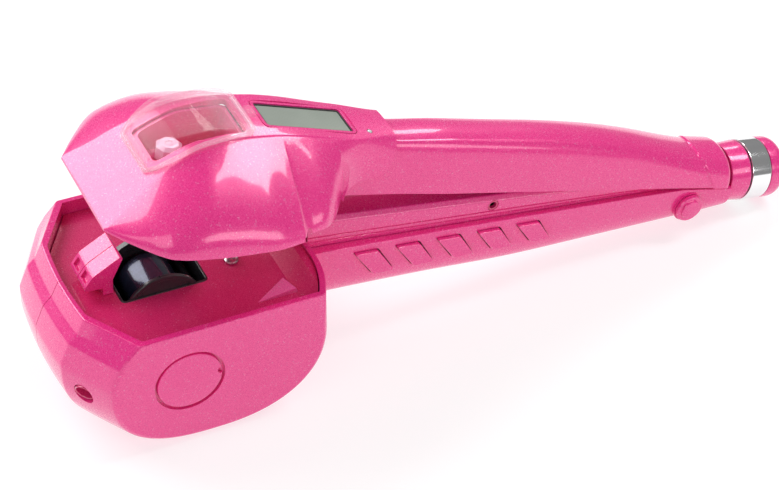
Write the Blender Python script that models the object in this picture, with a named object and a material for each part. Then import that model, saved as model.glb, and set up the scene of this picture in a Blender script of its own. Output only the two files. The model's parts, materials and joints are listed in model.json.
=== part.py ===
"""Automatic hair curler, built as an assembly of separate pieces.

Lengths below are in millimetres and the meshes are made in metres. The drawing frame has x from the
pod's front to the tail, y across, and z up from the pod's rim. The jaw is drawn closed, and its hinge
empty turns it open, which is how the object rests.
"""

import math

import bmesh
import bpy
from mathutils import Matrix, Vector

MM = 0.001

# Overall placing
RIM_HEIGHT = 51.5
X_MIDDLE = 130.85
GAP = 0.3
WALL = 2.2

# Pod
POD_HALF = 40.5
POD_FLAT_HALF = 21.0
POD_STEPS = 16
RIM_FRONT = (-15.0, -1.0)
BEVEL_UPPER = ((-17.6, -6.0), (-5.6, -5.2))
BEVEL_LOWER = ((-20.6, -9.0), (-8.2, -9.4))
BELLY_FRONT = (-23.6, -10.8)
BELLY_REAR = (71.6, 68.0)
BELLY_MIDDLE = -17.0
BELLY_DEPTH = (35.4, 32.9)
BELLY_POWER = (2.7, 2.3)
RIM_REAR = (72.0, 66.6)
LIP = 1.5
FLOOR_Z = -5.4
FLOOR_THICK = 1.8
DISC_SPOT = (16.8, -22.5)
WELL_SPOTS = ((-18.2, -29.5, -27.0), (-18.2, 29.5, -27.0))
WELL_DIRECTION = ((-0.72, -0.60, -0.30), (-0.72, 0.60, -0.30))
TRAY_SCREWS = ((46.0, -7.0), (46.0, 20.0))
SHELL_SCREWS = ((28.0, -41.0), (120.0, -24.0), (205.0, -34.0))

# Chamber, barrel and gear train
CHAMBER_X = (3.0, 35.0)
CHAMBER_HALF = 13.3
CHAMBER_BOTTOM = -28.4
BARREL_X = 18.4
BARREL_Z = -13.0
BARREL_R = 9.6
DISC_R = 14.4
GEAR_MODULE = 0.8
ROTOR_TEETH = 12
IDLER_TEETH = 28
PINION_TEETH = 10
IDLER_ANGLE = -25.0
PINION_ANGLE = -10.0
GEAR_Y = (17.2, 21.2)
MOTOR_R = 9.4

# Handle: the line where the two arms part, and the outlines along x
PART_START = (75.0, -6.5)
PART_SLOPE = -0.1345
HINGE_X = 237.0
HINGE_Z = -37.0
OPEN_ANGLE = 8.2
LUG_R = 4.8
LUG_HALF = 4.6
GRIP_START = 62.0
GRIP_END = 260.0
GRIP_HALF = ((62.0, 15.0), (75.0, 13.6), (95.0, 12.9), (130.0, 12.4), (215.0, 12.0), (260.0, 12.6))
GRIP_BOTTOM = ((62.0, -30.0), (80.0, -31.9), (121.0, -36.5), (163.0, -41.6), (200.0, -43.8), (260.0, -47.3))
GRIP_POWER = ((62.0, 3.6), (200.0, 3.4), (238.0, 3.0), (260.0, 2.0))
DECK_HALF = 9.6
DECK_RISE = ((74.0, 12.6), (91.0, 12.0), (131.0, 10.4), (177.0, 8.4), (215.0, 5.4), (230.0, 3.4))
DECK_END = 229.0
LOCK_HOLE = (149.5, -11.0)

# Upper arm, drawn closed
HEAD_END = 96.4
HEAD_HALF = (
    (-13.2, 20.0), (-8.7, 26.3), (-4.1, 31.9), (0.5, 36.8), (4.0, 39.3), (12.0, 41.3), (25.0, 42.4),
    (38.0, 42.6), (50.0, 40.6), (60.0, 36.0), (66.0, 31.0), (71.0, 24.5), (75.0, 19.0), (79.0, 15.6),
    (85.0, 13.8), (96.4, 13.6),
)
HEAD_BEND = (
    (-13.2, 0.6), (12.0, 0.62), (24.0, 0.5), (38.0, 0.34), (50.0, 0.2), (66.0, 0.35), (79.0, 0.8),
)
HEAD_TOP = (
    (-13.2, 1.8), (-6.6, 6.4), (2.3, 14.0), (9.7, 19.2), (22.0, 24.6), (33.0, 25.8), (48.0, 24.8),
    (81.6, 17.6), (96.4, 15.8),
)
HEAD_CREASE = (
    (-13.2, 20.4), (-6.6, 18.6), (2.3, 16.2), (9.7, 14.4), (22.0, 13.0), (48.0, 12.3), (80.0, 11.4),
    (96.4, 9.6),
)
SLEEVE_START = 96.8
SLEEVE_END = 254.0
SLEEVE_HALF = ((96.8, 12.4), (215.0, 12.1), (254.0, 12.6))
SLEEVE_TOP = (
    (96.8, 13.6), (109.0, 11.8), (128.0, 8.7), (147.0, 5.6), (167.0, 2.3), (188.0, -2.0), (209.0, -7.3),
    (232.0, -14.4), (240.0, -16.6), (254.0, -19.0),
)
SLEEVE_CREASE = ((96.8, 6.4), (174.0, 5.8), (240.0, 5.6), (254.0, 5.2))
SIDE_STEPS = 7

# Keys, seen from the near side
KEY_NAMES = ("key_power", "key_heat", "key_time", "key_direction", "key_mode")
KEY_LEFT = 91.0
KEY_PITCH = 17.0
KEY_WIDTH = 9.6
KEY_HEIGHT = (12.0, 10.0)
KEY_SLANT = 0.68
KEY_STAND = 1.6
KEY_INSIDE = 4.4
KEY_DROP = 2.8

# Swivel tail: its axis passes through this point and falls towards the tail
TAIL_X = 271.0
TAIL_FALL = 10.0
TAIL_R = 12.2
TAIL_START = -14.0
CAP_STRAIGHT = 9.4
TAIL_TURN = math.radians(TAIL_FALL)
TAIL_Z = -RIM_HEIGHT + TAIL_R * math.cos(TAIL_TURN) + CAP_STRAIGHT * math.sin(TAIL_TURN)

# Tank and display on the head
LID_HINGE = (2.2, 14.3)
TUB_X = (6.0, 38.6)
TUB_HALF = 9.4
TUB_FLOOR = 9.0
LCD_X = (48.4, 81.4)
LCD_HALF = 5.9
STOPPER_X = 15.0
STOPPER_Y = -1.5
INDICATOR = (88.6, -6.0, 15.9)
LID_WIDTH = ((2.4, 10.6), (6.0, 13.4), (14.5, 14.6), (27.5, 14.2), (38.5, 12.6), (41.6, 9.6))
LID_TOP = ((2.4, 16.6), (6.0, 22.7), (14.5, 28.2), (27.5, 29.2), (38.5, 26.6), (41.6, 25.9))
JAW_SCREWS = ((52.0, -28.0), (52.0, 28.0))

PINK = (0.80, 0.055, 0.26)
DEEP_PINK = (0.62, 0.03, 0.17)
BLACK = (0.012, 0.012, 0.015)


def clear_scene():
    for obj in list(bpy.data.objects):
        bpy.data.objects.remove(obj, do_unlink=True)


def finish(name, colour, roughness, metallic=0.0, alpha=1.0):
    """A Principled material."""
    made = bpy.data.materials.new(name)
    made.use_nodes = True
    shader = made.node_tree.nodes["Principled BSDF"]
    shader.inputs["Base Color"].default_value = (*colour, 1.0)
    shader.inputs["Roughness"].default_value = roughness
    shader.inputs["Metallic"].default_value = metallic
    shader.inputs["Alpha"].default_value = alpha
    return made


def along(x, stations):
    """The value at x of a line through the stations."""
    if x <= stations[0][0]:
        return stations[0][1]
    for (x0, v0), (x1, v1) in zip(stations, stations[1:]):
        if x <= x1:
            return v0 + (v1 - v0) * (x - x0) / (x1 - x0)
    return stations[-1][1]


def mix(pair, t):
    return pair[0] + (pair[1] - pair[0]) * t


def power(value, exponent):
    return math.copysign(abs(value) ** exponent, value)


def part_line(x):
    """Height of the parting line between the arms when they are closed."""
    return PART_START[1] + PART_SLOPE * (x - PART_START[0])


def opened(x, z):
    """Where a point of the closed jaw goes when the jaw is open."""
    turn = math.radians(OPEN_ANGLE)
    dx, dz = x - HINGE_X, z - HINGE_Z
    return (
        HINGE_X + dx * math.cos(turn) + dz * math.sin(turn),
        HINGE_Z - dx * math.sin(turn) + dz * math.cos(turn),
    )


def ledge(x):
    """Top edge of the grip. Behind the hinge it drops away from the opened jaw."""
    if x <= HINGE_X - 3.0:
        return part_line(x) - GAP
    start = part_line(HINGE_X - 3.0) - GAP
    end_x, end_z = opened(SLEEVE_END, part_line(SLEEVE_END))
    t = (x - HINGE_X + 3.0) / (end_x - HINGE_X + 3.0)
    return start + (end_z - 0.7 - start) * t


# ---------------------------------------------------------------- mesh helpers


class Frame:
    """An empty that pieces hang from. Its origin is given in the drawing frame."""

    def __init__(self, name, origin, parent=None, turn=0.0):
        self.origin = Vector(origin)
        self.empty = bpy.data.objects.new(name, None)
        bpy.context.scene.collection.objects.link(self.empty)
        if parent:
            self.empty.parent = parent.empty
            self.empty.location = (self.origin - parent.origin) * MM
        else:
            self.empty.location = Vector((-X_MIDDLE, 0.0, RIM_HEIGHT)) * MM
        self.empty.rotation_euler = (0.0, math.radians(turn), 0.0)


def solid(name, points, faces, frame, look, cutter=False):
    """A mesh object from points in the drawing frame, hung from a frame."""
    mesh = bpy.data.meshes.new(name)
    mesh.from_pydata([Vector(p) * MM for p in points], [], faces)
    shape = bmesh.new()
    shape.from_mesh(mesh)
    bmesh.ops.remove_doubles(shape, verts=shape.verts, dist=0.00001)
    bmesh.ops.recalc_face_normals(shape, faces=shape.faces)
    shape.to_mesh(mesh)
    shape.free()
    obj = bpy.data.objects.new(name, mesh)
    bpy.context.scene.collection.objects.link(obj)
    obj.parent = frame.empty
    obj.location = -frame.origin * MM
    if cutter:
        obj.hide_render = True
        obj.display_type = "WIRE"
        return obj
    mesh.materials.append(look)
    mesh.shade_smooth()
    mesh.set_sharp_from_angle(angle=math.radians(32.0))
    return obj


def loft(name, rings, frame, look=None):
    """A skin over rings of equal count, capped at both ends."""
    count = len(rings[0])
    points = [p for ring in rings for p in ring]
    faces = [list(range(count))]
    faces.append([len(points) - count + i for i in range(count)])
    for r in range(len(rings) - 1):
        for i in range(count):
            j = (i + 1) % count
            a, b = r * count, (r + 1) * count
            faces.append([a + i, a + j, b + j, b + i])
    return solid(name, points, faces, frame, look, cutter=look is None)


def prism(name, outline, low, high, frame, look=None, plane="xz"):
    """An outline in the xz or xy plane, extruded along the third axis."""
    order = {"xz": lambda a, b, c: (a, c, b), "xy": lambda a, b, c: (a, b, c)}
    place = order[plane]
    rings = [[place(a, b, c) for a, b in outline] for c in (low, high)]
    return loft(name, rings, frame, look)


def box(name, low, high, frame, look=None):
    outline = [(low[0], low[2]), (high[0], low[2]), (high[0], high[2]), (low[0], high[2])]
    return prism(name, outline, low[1], high[1], frame, look)


def circle(cx, cz, radius, count=24):
    angles = [2.0 * math.pi * i / count for i in range(count)]
    return [(cx + radius * math.cos(a), cz + radius * math.sin(a)) for a in angles]


def rod(name, cx, cz, radius, low, high, frame, look=None, count=24):
    """A cylinder along y."""
    return prism(name, circle(cx, cz, radius, count), low, high, frame, look)


def turned(name, profile, base, direction, frame, look=None, count=28):
    """A closed profile of (radius, height) turned round a line that starts at base."""
    axis = Vector(direction).normalized()
    turn = axis.to_track_quat("Z", "Y").to_matrix()
    rings = []
    for i in range(count):
        angle = 2.0 * math.pi * i / count
        arm = Vector((math.cos(angle), math.sin(angle), 0.0))
        rings.append([Vector(base) + turn @ (arm * r + Vector((0.0, 0.0, h))) for r, h in profile])
    points, faces, size = [], [], len(profile)
    for ring in rings:
        points.extend(ring)
    for r in range(count):
        for i in range(size):
            j = (i + 1) % size
            a, b = r * size, (r + 1) % count * size
            faces.append([a + i, a + j, b + j, b + i])
    return solid(name, points, faces, frame, look, cutter=look is None)


def plug_profile(*steps):
    """A profile closed on its axis, from (radius, height) steps."""
    return [(0.0, steps[0][1]), *steps, (0.0, steps[-1][1])]


def boolean(target, other, operation="DIFFERENCE"):
    modifier = target.modifiers.new(operation.lower(), "BOOLEAN")
    modifier.operation = operation
    modifier.solver = "EXACT"
    modifier.object = other


def rounded(x0, x1, y0, y1, radius, steps=4):
    """A rectangle with round corners."""
    outline = []
    for cx, cy, start in ((x1, y1, 0), (x0, y1, 90), (x0, y0, 180), (x1, y0, 270)):
        ox = cx - math.copysign(radius, cx - (x0 + x1) / 2)
        oy = cy - math.copysign(radius, cy - (y0 + y1) / 2)
        for i in range(steps + 1):
            angle = math.radians(start + 90.0 * i / steps)
            outline.append((ox + radius * math.cos(angle), oy + radius * math.sin(angle)))
    return outline


# ---------------------------------------------------------------- outer outlines


def pod_ring(y, wall=0.0):
    """The pod's outline in the plane y. With a wall it is the inside, open above the rim."""
    out = abs(y) + wall
    side = max(0.0, (out - POD_FLAT_HALF) / (POD_HALF - POD_FLAT_HALF))
    crown = 1.4 * min(1.0, out / POD_FLAT_HALF) ** 2 * (1.0 - side)
    edge = max(0.0, out - (POD_HALF - 2.2)) / 2.2
    shrink = wall + 1.1 * edge**2 * (wall == 0.0)
    front = mix(BELLY_FRONT, side) + crown + shrink
    rear = mix(BELLY_REAR, side**2) - shrink
    depth = mix(BELLY_DEPTH, side**1.5) - shrink
    rim_front = mix(RIM_FRONT, side) + crown
    rim_rear = mix(RIM_REAR, side**2)
    upper = [mix((BEVEL_UPPER[0][k], BEVEL_UPPER[1][k]), side) for k in (0, 1)]
    lower = [mix((BEVEL_LOWER[0][k], BEVEL_LOWER[1][k]), side) for k in (0, 1)]
    if wall:
        points = [(rim_front + LIP, 4.0), (rim_front + LIP, FLOOR_Z - FLOOR_THICK - 1.0)]
        points.append((lower[0] + crown + wall + 1.6, lower[1] - 2.4))
    else:
        points = [(rim_front, 0.0), (upper[0] + crown, upper[1]), (lower[0] + crown, lower[1])]
    middle_x = 22.0 + 6.0 * side
    for i in range(POD_STEPS + 1):
        angle = math.pi * i / POD_STEPS
        reach = middle_x - front if angle < math.pi / 2 else rear - middle_x
        exponent = 2.0 / BELLY_POWER[0 if angle < math.pi / 2 else 1]
        x = middle_x - reach * power(math.cos(angle), exponent)
        z = BELLY_MIDDLE - depth * power(math.sin(angle), exponent)
        points.append((x, max(z, -RIM_HEIGHT + wall)))
    if wall:
        points.append((rim_rear - 1.6, 4.0))
    else:
        points.append((rim_rear, 0.0))
    return [(x, y, z) for x, z in points]


def pod_stations(wall=0.0):
    half = POD_HALF - wall
    steps = [half, half - 0.7, half - 2.2, half - 9.0, POD_FLAT_HALF, 11.0]
    if wall:
        steps = [half, half - 9.0, POD_FLAT_HALF - wall, 9.0]
    return [-s for s in steps] + [0.0] + steps[::-1]


def grip_ring(x, wall=0.0, steps=12):
    """The grip's outline at x, open above when it is the inside."""
    half = along(x, GRIP_HALF) - wall
    top = ledge(x) + (8.0 if wall else 0.0)
    middle = ledge(x) - 3.5
    depth = middle - along(x, GRIP_BOTTOM) - wall
    exponent = 2.0 / along(x, GRIP_POWER)
    lip = [(DECK_HALF + GAP, top), (DECK_HALF + GAP, ledge(x) - 1.4), (half, ledge(x) - 2.2)]
    side = lip if wall else [(half, top)]
    ring = [(x, -y, z) for y, z in side]
    for i in range(steps + 1):
        angle = math.pi * i / steps
        y = -half * power(math.cos(angle), exponent)
        ring.append((x, y, middle - depth * power(math.sin(angle), exponent)))
    ring.extend((x, y, z) for y, z in reversed(side))
    return ring


def grip_stations(start, end):
    marks = [m[0] for m in GRIP_HALF + GRIP_BOTTOM + GRIP_POWER]
    marks += [105.0, 145.0, 180.0, HINGE_X - 3.0, 246.0]
    return [start] + sorted({m for m in marks if start + 0.5 < m < end - 0.5}) + [end]


def jaw_ring(x, half, crease, top, bottom, bend, crown=0.7, drop=0.0):
    """An arched outline at x: two bulging sides, two creases and a low crown."""
    start, middle, end = (half, bottom), (half, bottom + (top - bottom) * bend), (crease, top - crown)
    side = []
    for i in range(SIDE_STEPS + 1):
        t = i / SIDE_STEPS
        side.append(
            tuple((1 - t) ** 2 * start[k] + 2 * t * (1 - t) * middle[k] + t * t * end[k] for k in (0, 1))
        )
    if drop:
        side.insert(0, (half, bottom - drop))
    ring = [(x, y, z) for y, z in side]
    ring.append((x, 0.0, top))
    ring.extend((x, -y, z) for y, z in reversed(side))
    return ring


def head_bottom(x):
    """Lower edge of the head: level with the rim, then down to the parting line behind the pod."""
    low = part_line(79.0)
    return along(x, ((72.8, 0.4), (79.0, low), (96.4, part_line(96.4))))


def head_ring(x, wall=0.0):
    half = along(x, HEAD_HALF) - wall
    crease = along(x, HEAD_CREASE) - 0.5 * wall
    top = along(x, HEAD_TOP) - wall
    bottom = head_bottom(x)
    bend = along(x, HEAD_BEND)
    crease = min(crease, half - 0.3)
    top = max(top, bottom + 0.8)
    return jaw_ring(x, half, crease, top, bottom, bend, 0.6, 6.0 if wall else 0.0)


def head_stations(start, end):
    marks = {m[0] for m in HEAD_HALF + HEAD_TOP} | {16.0, 28.0, 56.0, 72.8}
    return [start] + sorted(m for m in marks if start + 0.5 < m < end - 0.5) + [end]


def sleeve_ring(x, wall=0.0):
    half = along(x, SLEEVE_HALF) - wall
    crease = along(x, SLEEVE_CREASE) - 0.5 * wall
    top = along(x, SLEEVE_TOP) - wall
    bottom = part_line(x)
    bend = along(x, ((200.0, 0.86), (254.0, 0.7)))
    return jaw_ring(x, half, crease, top, bottom, bend, 0.9, 8.0 if wall else 0.0)


def sleeve_stations(start, end):
    marks = {m[0] for m in SLEEVE_TOP + SLEEVE_HALF} | {118.0, 156.0, 196.0, 230.0, 247.0}
    return [start] + sorted(m for m in marks if start + 0.5 < m < end - 0.5) + [end]


def rim_plan(gap):
    """The space inside the rim from above, less a gap all round."""
    rows = [y for y in pod_stations(WALL) if y >= 0.0]
    front, rear = [], []
    for y in rows:
        ring = pod_ring(y, WALL)
        moved = min(y, POD_HALF - WALL - gap)
        front.append((ring[0][0] + 1.25 * gap, moved))
        rear.append((ring[-1][0] - 1.25 * gap, moved))
    half = rear + front[::-1]
    return half[::-1] + [(x, -y) for x, y in half if y > 0.01]


# ---------------------------------------------------------------- lower arm


def lower_shells(root, looks):
    """Two halves that meet on the centre plane: pod, neck and grip in one moulding each."""
    pod_inside = loft("pod_inside", [pod_ring(y, WALL) for y in pod_stations(WALL)], root)
    grip_start = GRIP_START + 8.0
    grip_inside = loft(
        "grip_inside", [grip_ring(x, WALL) for x in grip_stations(grip_start - 14.0, GRIP_END - 3.2)], root
    )
    wells = [
        turned(f"well_cutter_{i}", plug_profile((4.0, -20.0), (4.0, 12.0)), spot, WELL_DIRECTION[i], root)
        for i, spot in enumerate(WELL_SPOTS)
    ]
    neck = plug_profile((6.1, -16.0), (6.1, 0.0))
    neck_hole = turned("neck_cutter", neck, tail_point(-4.0), tail_line(), root)
    tail_end = plug_profile((40.0, TAIL_START), (40.0, 30.0))
    tail_cut = turned("tail_cutter", tail_end, tail_point(0.0), tail_line(), root)
    for sign, name in ((-1.0, "lower_shell_near"), (1.0, "lower_shell_far")):
        low, high = sorted((sign * 0.15, sign * 60.0))
        shell = loft(name, [pod_ring(y) for y in pod_stations()], root, looks["pink"])
        grip = loft(f"{name}_grip", [grip_ring(x) for x in grip_stations(GRIP_START, GRIP_END)], root)
        boss = rod(f"{name}_boss", HINGE_X, HINGE_Z, 6.4, sign * 9.4, sign * 12.7, root)
        boolean(shell, grip, "UNION")
        boolean(shell, pod_inside)
        boolean(shell, grip_inside)
        boolean(shell, rod(f"{name}_lug_room", HINGE_X, HINGE_Z, LUG_R + 0.4, -8.9, 8.9, root))
        boolean(shell, boss, "UNION")
        boolean(shell, rod(f"{name}_pin_hole", HINGE_X, HINGE_Z, 2.4, -30.0, 30.0, root, count=16))
        disc_low, disc_high = sorted((sign * (POD_HALF - 1.3), sign * (POD_HALF + 5.0)))
        boolean(shell, rod(f"{name}_disc_seat", *DISC_SPOT, 13.0, disc_low, disc_high, root, count=36))
        boolean(shell, neck_hole)
        boolean(shell, tail_cut)
        boolean(shell, wells[0] if sign < 0 else wells[1])
        if sign < 0:
            for i in range(len(KEY_NAMES)):
                boolean(shell, key_prism(f"key_slot_{i}", i, -30.0, -6.0, root, grow=0.35))
        else:
            for i, (x, z) in enumerate(SHELL_SCREWS):
                seat_y = shell_face(x) - 1.4
                boolean(shell, rod(f"shell_screw_seat_{i}", x, z, 2.9, seat_y, 60.0, root, count=16))
                boolean(shell, rod(f"shell_screw_way_{i}", x, z, 1.5, 0.0, 60.0, root, count=12))
        half = box(f"{name}_half", (-60.0, low, -80.0), (300.0, high, 40.0), root)
        boolean(shell, half, "INTERSECT")


def shell_face(x):
    """How far out the far shell's side lies at x."""
    return POD_HALF if x < GRIP_START else along(x, GRIP_HALF)


def tail_line():
    return (math.cos(TAIL_TURN), 0.0, -math.sin(TAIL_TURN))


def tail_point(distance):
    line = tail_line()
    return (TAIL_X + line[0] * distance, 0.0, TAIL_Z + line[2] * distance)


def key_prism(name, index, low, high, frame, look=None, grow=0.0):
    """A slanted four-sided prism along y, for a key or for its slot."""
    left = KEY_LEFT + KEY_PITCH * index
    height = mix(KEY_HEIGHT, index / (len(KEY_NAMES) - 1))
    top = part_line(left + KEY_WIDTH / 2) - KEY_DROP
    shift = KEY_SLANT * height
    drop = PART_SLOPE * KEY_WIDTH
    outline = [
        (left - grow, top + grow),
        (left + KEY_WIDTH + grow, top + drop + grow),
        (left + KEY_WIDTH - 1.2 + shift + grow, top + drop - height * 0.94 - grow),
        (left + shift - grow, top - height - grow),
    ]
    return prism(name, outline, low, high, frame, look)


def keys(root, looks):
    """Push keys through the near side of the grip, each with a flange inside that keeps it in."""
    for index, name in enumerate(KEY_NAMES):
        middle = KEY_LEFT + KEY_PITCH * index + KEY_WIDTH / 2
        face = -along(middle, GRIP_HALF)
        frame = Frame(f"{name}_axis", (middle, face, part_line(middle) - 8.0), root)
        key = key_prism(name, index, face - KEY_STAND, face + KEY_INSIDE, frame, looks["pink"])
        inner = face + KEY_INSIDE
        flange = key_prism(f"{name}_flange", index, inner - 0.9, inner + 0.1, frame, grow=0.9)
        boolean(key, flange, "UNION")


def tray(root, looks):
    """The floor inside the rim, with the chamber opening and a ramp up to the neck."""
    top, low = FLOOR_Z, FLOOR_Z - FLOOR_THICK
    section = [
        (-30.0, low), (61.0, low), (67.5, -2.8), (90.0, -2.8), (90.0, -1.0), (67.0, -1.0), (60.0, top),
        (-30.0, top),
    ]
    piece = prism("chamber_tray", section, -60.0, 60.0, root, looks["deep_pink"])
    boolean(piece, prism("tray_plan", rim_plan(GAP), -20.0, 20.0, root, plane="xy"), "INTERSECT")
    opening = rounded(*CHAMBER_X, -CHAMBER_HALF, CHAMBER_HALF, 2.2)
    boolean(piece, prism("tray_opening", opening, -20.0, 9.0, root, plane="xy"))
    for i, (x, y) in enumerate(TRAY_SCREWS):
        boolean(piece, prism(f"tray_screw_way_{i}", circle(x, y, 1.5, 12), -20.0, 9.0, root, plane="xy"))
        turned(
            f"tray_screw_{i + 1}",
            plug_profile((1.2, -6.0), (1.2, 0.1), (2.6, 0.1), (2.6, 1.0), (1.9, 1.6)),
            (x, y, FLOOR_Z + GAP), (0.0, 0.0, 1.0), root, looks["steel"], count=16,
        )


def hair_guide(root, looks):
    """The nose that stands at the front of the chamber and leads the hair in."""
    base = FLOOR_Z + GAP
    section = [
        (-1.4, base), (2.2, base), (2.2, 1.0), (6.0, 9.4), (5.2, 10.2), (-4.9, 4.4), (-8.2, -0.4),
        (-7.6, -1.5), (-1.4, -2.0),
    ]
    piece = prism("hair_guide", section, -7.0, 7.0, root, looks["pink"])
    for i, side in enumerate((-1.0, 1.0)):
        low, high = sorted((side * 1.2, side * 5.6))
        slot = [(-8.6, 2.6), (-6.6, 1.2), (-5.2, 3.2), (-7.2, 4.6)]
        boolean(piece, prism(f"guide_window_{i}", slot, low, high, root))


def chamber(root, looks):
    """Black cup under the opening, with the barrel fixed in it and its end disc."""
    low, high = CHAMBER_X
    cup = box(
        "chamber_cup", (low - 1.6, -CHAMBER_HALF - 1.6, CHAMBER_BOTTOM - 1.4),
        (high + 1.6, CHAMBER_HALF + 1.6, FLOOR_Z - FLOOR_THICK - GAP), root, looks["black"],
    )
    side = CHAMBER_HALF + 0.2
    boolean(cup, box("cup_inside", (low - 0.2, -side, CHAMBER_BOTTOM), (high + 0.2, side, 0.0), root))
    boolean(cup, rod("cup_rotor_hole", BARREL_X, BARREL_Z, 4.6, 5.0, 30.0, root, count=20))
    disc_front = -CHAMBER_HALF + 0.4
    disc_back = disc_front + 1.5
    barrel_low = disc_back + GAP
    middle = (BARREL_X, BARREL_Z)
    rod("barrel_end_disc", *middle, DISC_R, disc_front, disc_back, root, looks["black"], count=36)
    barrel = rod("heated_barrel", *middle, BARREL_R, barrel_low, 7.6, root, looks["barrel"], count=32)
    boolean(barrel, rod("barrel_bore", *middle, 6.0, barrel_low + 2.0, 40.0, root, count=20))
    rod("heater_core", *middle, 5.6, barrel_low + 2.4, 6.8, root, looks["ceramic"], count=16)
    turned(
        "rotor_bush",
        [(2.2, 0.0), (4.3, 0.0), (4.3, 1.7), (5.2, 1.7), (5.2, 2.6), (2.2, 2.6)],
        (BARREL_X, CHAMBER_HALF + 0.4, BARREL_Z), (0.0, 1.0, 0.0), root, looks["brass"], count=20,
    )


def gear_outline(cx, cz, teeth, turn=0.0):
    """Straight-sided teeth round a pitch circle."""
    pitch_r = GEAR_MODULE * teeth / 2
    outline = []
    for i in range(teeth):
        for offset, radius in ((-0.32, -1.0), (-0.14, 0.78), (0.14, 0.78), (0.32, -1.0)):
            angle = 2.0 * math.pi * (i + offset) / teeth + turn
            r = pitch_r + radius * GEAR_MODULE
            outline.append((cx + r * math.cos(angle), cz + r * math.sin(angle)))
    return outline


def meshed(turn, teeth, next_teeth, angle):
    """Turn of the next gear, in direction angle from this one, so that a tooth meets a gap."""
    line = math.radians(angle)
    phase = (line - turn) * teeth / (2.0 * math.pi)
    return line + math.pi + 2.0 * math.pi * (phase + 0.5) / next_teeth


def gear_places():
    """Centres of the rotor gear, idler gear and pinion."""
    first = GEAR_MODULE * (ROTOR_TEETH + IDLER_TEETH) / 2
    second = GEAR_MODULE * (IDLER_TEETH + PINION_TEETH) / 2
    down, back = math.radians(IDLER_ANGLE), math.radians(PINION_ANGLE)
    idler = (BARREL_X + first * math.cos(down), BARREL_Z + first * math.sin(down))
    pinion = (idler[0] + second * math.cos(back), idler[1] + second * math.sin(back))
    return (BARREL_X, BARREL_Z), idler, pinion


def drive(root, looks):
    """Rotor, gears and motor, each turning piece on its own axis."""
    rotor_at, idler_at, pinion_at = gear_places()
    rotor_frame = Frame("rotor_axis", (rotor_at[0], 0.0, rotor_at[1]), root)
    rotor = rod("rotor_disc", *rotor_at, DISC_R, 8.4, 10.4, rotor_frame, looks["black"], count=36)
    hub = rod("rotor_hub", *rotor_at, 2.0, 8.6, GEAR_Y[1] + 1.0, rotor_frame, count=16)
    boolean(rotor, hub, "UNION")
    hook = [(11.6, -1.8), (14.0, -1.4), (14.0, 1.6), (12.2, 3.4), (11.6, 1.2)]
    outline = [(rotor_at[0] + x, rotor_at[1] + z) for x, z in hook]
    boolean(rotor, prism("rotor_hook", outline, -9.0, 9.0, rotor_frame), "UNION")

    teeth = gear_outline(*rotor_at, ROTOR_TEETH)
    gear = prism("rotor_gear", teeth, *GEAR_Y, rotor_frame, looks["gear"])
    boolean(gear, rod("rotor_gear_bore", *rotor_at, 2.3, 0.0, 40.0, rotor_frame, count=16))

    idler_frame = Frame("idler_axis", (idler_at[0], 0.0, idler_at[1]), root)
    mesh_turn = meshed(0.0, ROTOR_TEETH, IDLER_TEETH, IDLER_ANGLE)
    teeth = gear_outline(*idler_at, IDLER_TEETH, mesh_turn)
    gear = prism("idler_gear", teeth, *GEAR_Y, idler_frame, looks["gear"])
    boolean(gear, rod("idler_bore", *idler_at, 1.8, 0.0, 40.0, idler_frame, count=16))
    rod("idler_axle", *idler_at, 1.5, 15.6, 23.6, root, looks["steel"], count=12)

    pinion_frame = Frame("pinion_axis", (pinion_at[0], 0.0, pinion_at[1]), root)
    pinion_turn = meshed(mesh_turn, IDLER_TEETH, PINION_TEETH, PINION_ANGLE)
    teeth = gear_outline(*pinion_at, PINION_TEETH, pinion_turn)
    gear = prism("motor_pinion", teeth, *GEAR_Y, pinion_frame, looks["brass"])
    boolean(gear, rod("pinion_bore", *pinion_at, 1.4, 0.0, 40.0, pinion_frame, count=12))

    motor = rod("motor", *pinion_at, MOTOR_R, -16.0, 14.0, root, looks["steel"], count=24)
    boolean(motor, rod("motor_front", *pinion_at, 3.4, 13.0, 15.4, root, count=16), "UNION")
    boolean(motor, rod("motor_shaft", *pinion_at, 1.1, 14.0, 21.6, root, count=12), "UNION")
    cover = [(12.0, -33.0), (56.0, -33.0), (58.0, -28.0), (58.0, -14.0), (30.0, -7.8), (12.0, -7.8)]
    plate = prism("gear_cover", cover, 24.0, 25.6, root, looks["black"])
    boolean(plate, rod("gear_cover_hole", *rotor_at, 3.2, 20.0, 30.0, root, count=16))


def electronics(root, looks):
    """Boards, switch and fuse that the pod and the grip hold."""
    for name, start, end, high, low, y in (
        ("key_board", 88.0, 178.0, 2.2, 13.0, -6.4), ("control_board", 102.0, 218.0, 2.8, 13.6, 1.6),
    ):
        strip = [(start, part_line(start) - high), (end, part_line(end) - high)]
        strip += [(end, part_line(end) - low), (start, part_line(start) - low)]
        prism(name, strip, y, y + 1.4, root, looks["board"])
    box("closing_switch", (96.0, -4.2, -9.6), (108.0, 0.6, -3.4), root, looks["black"])
    rod("thermal_fuse", 8.0, -34.0, 2.4, -9.0, 9.0, root, looks["ceramic"], count=14)


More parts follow.
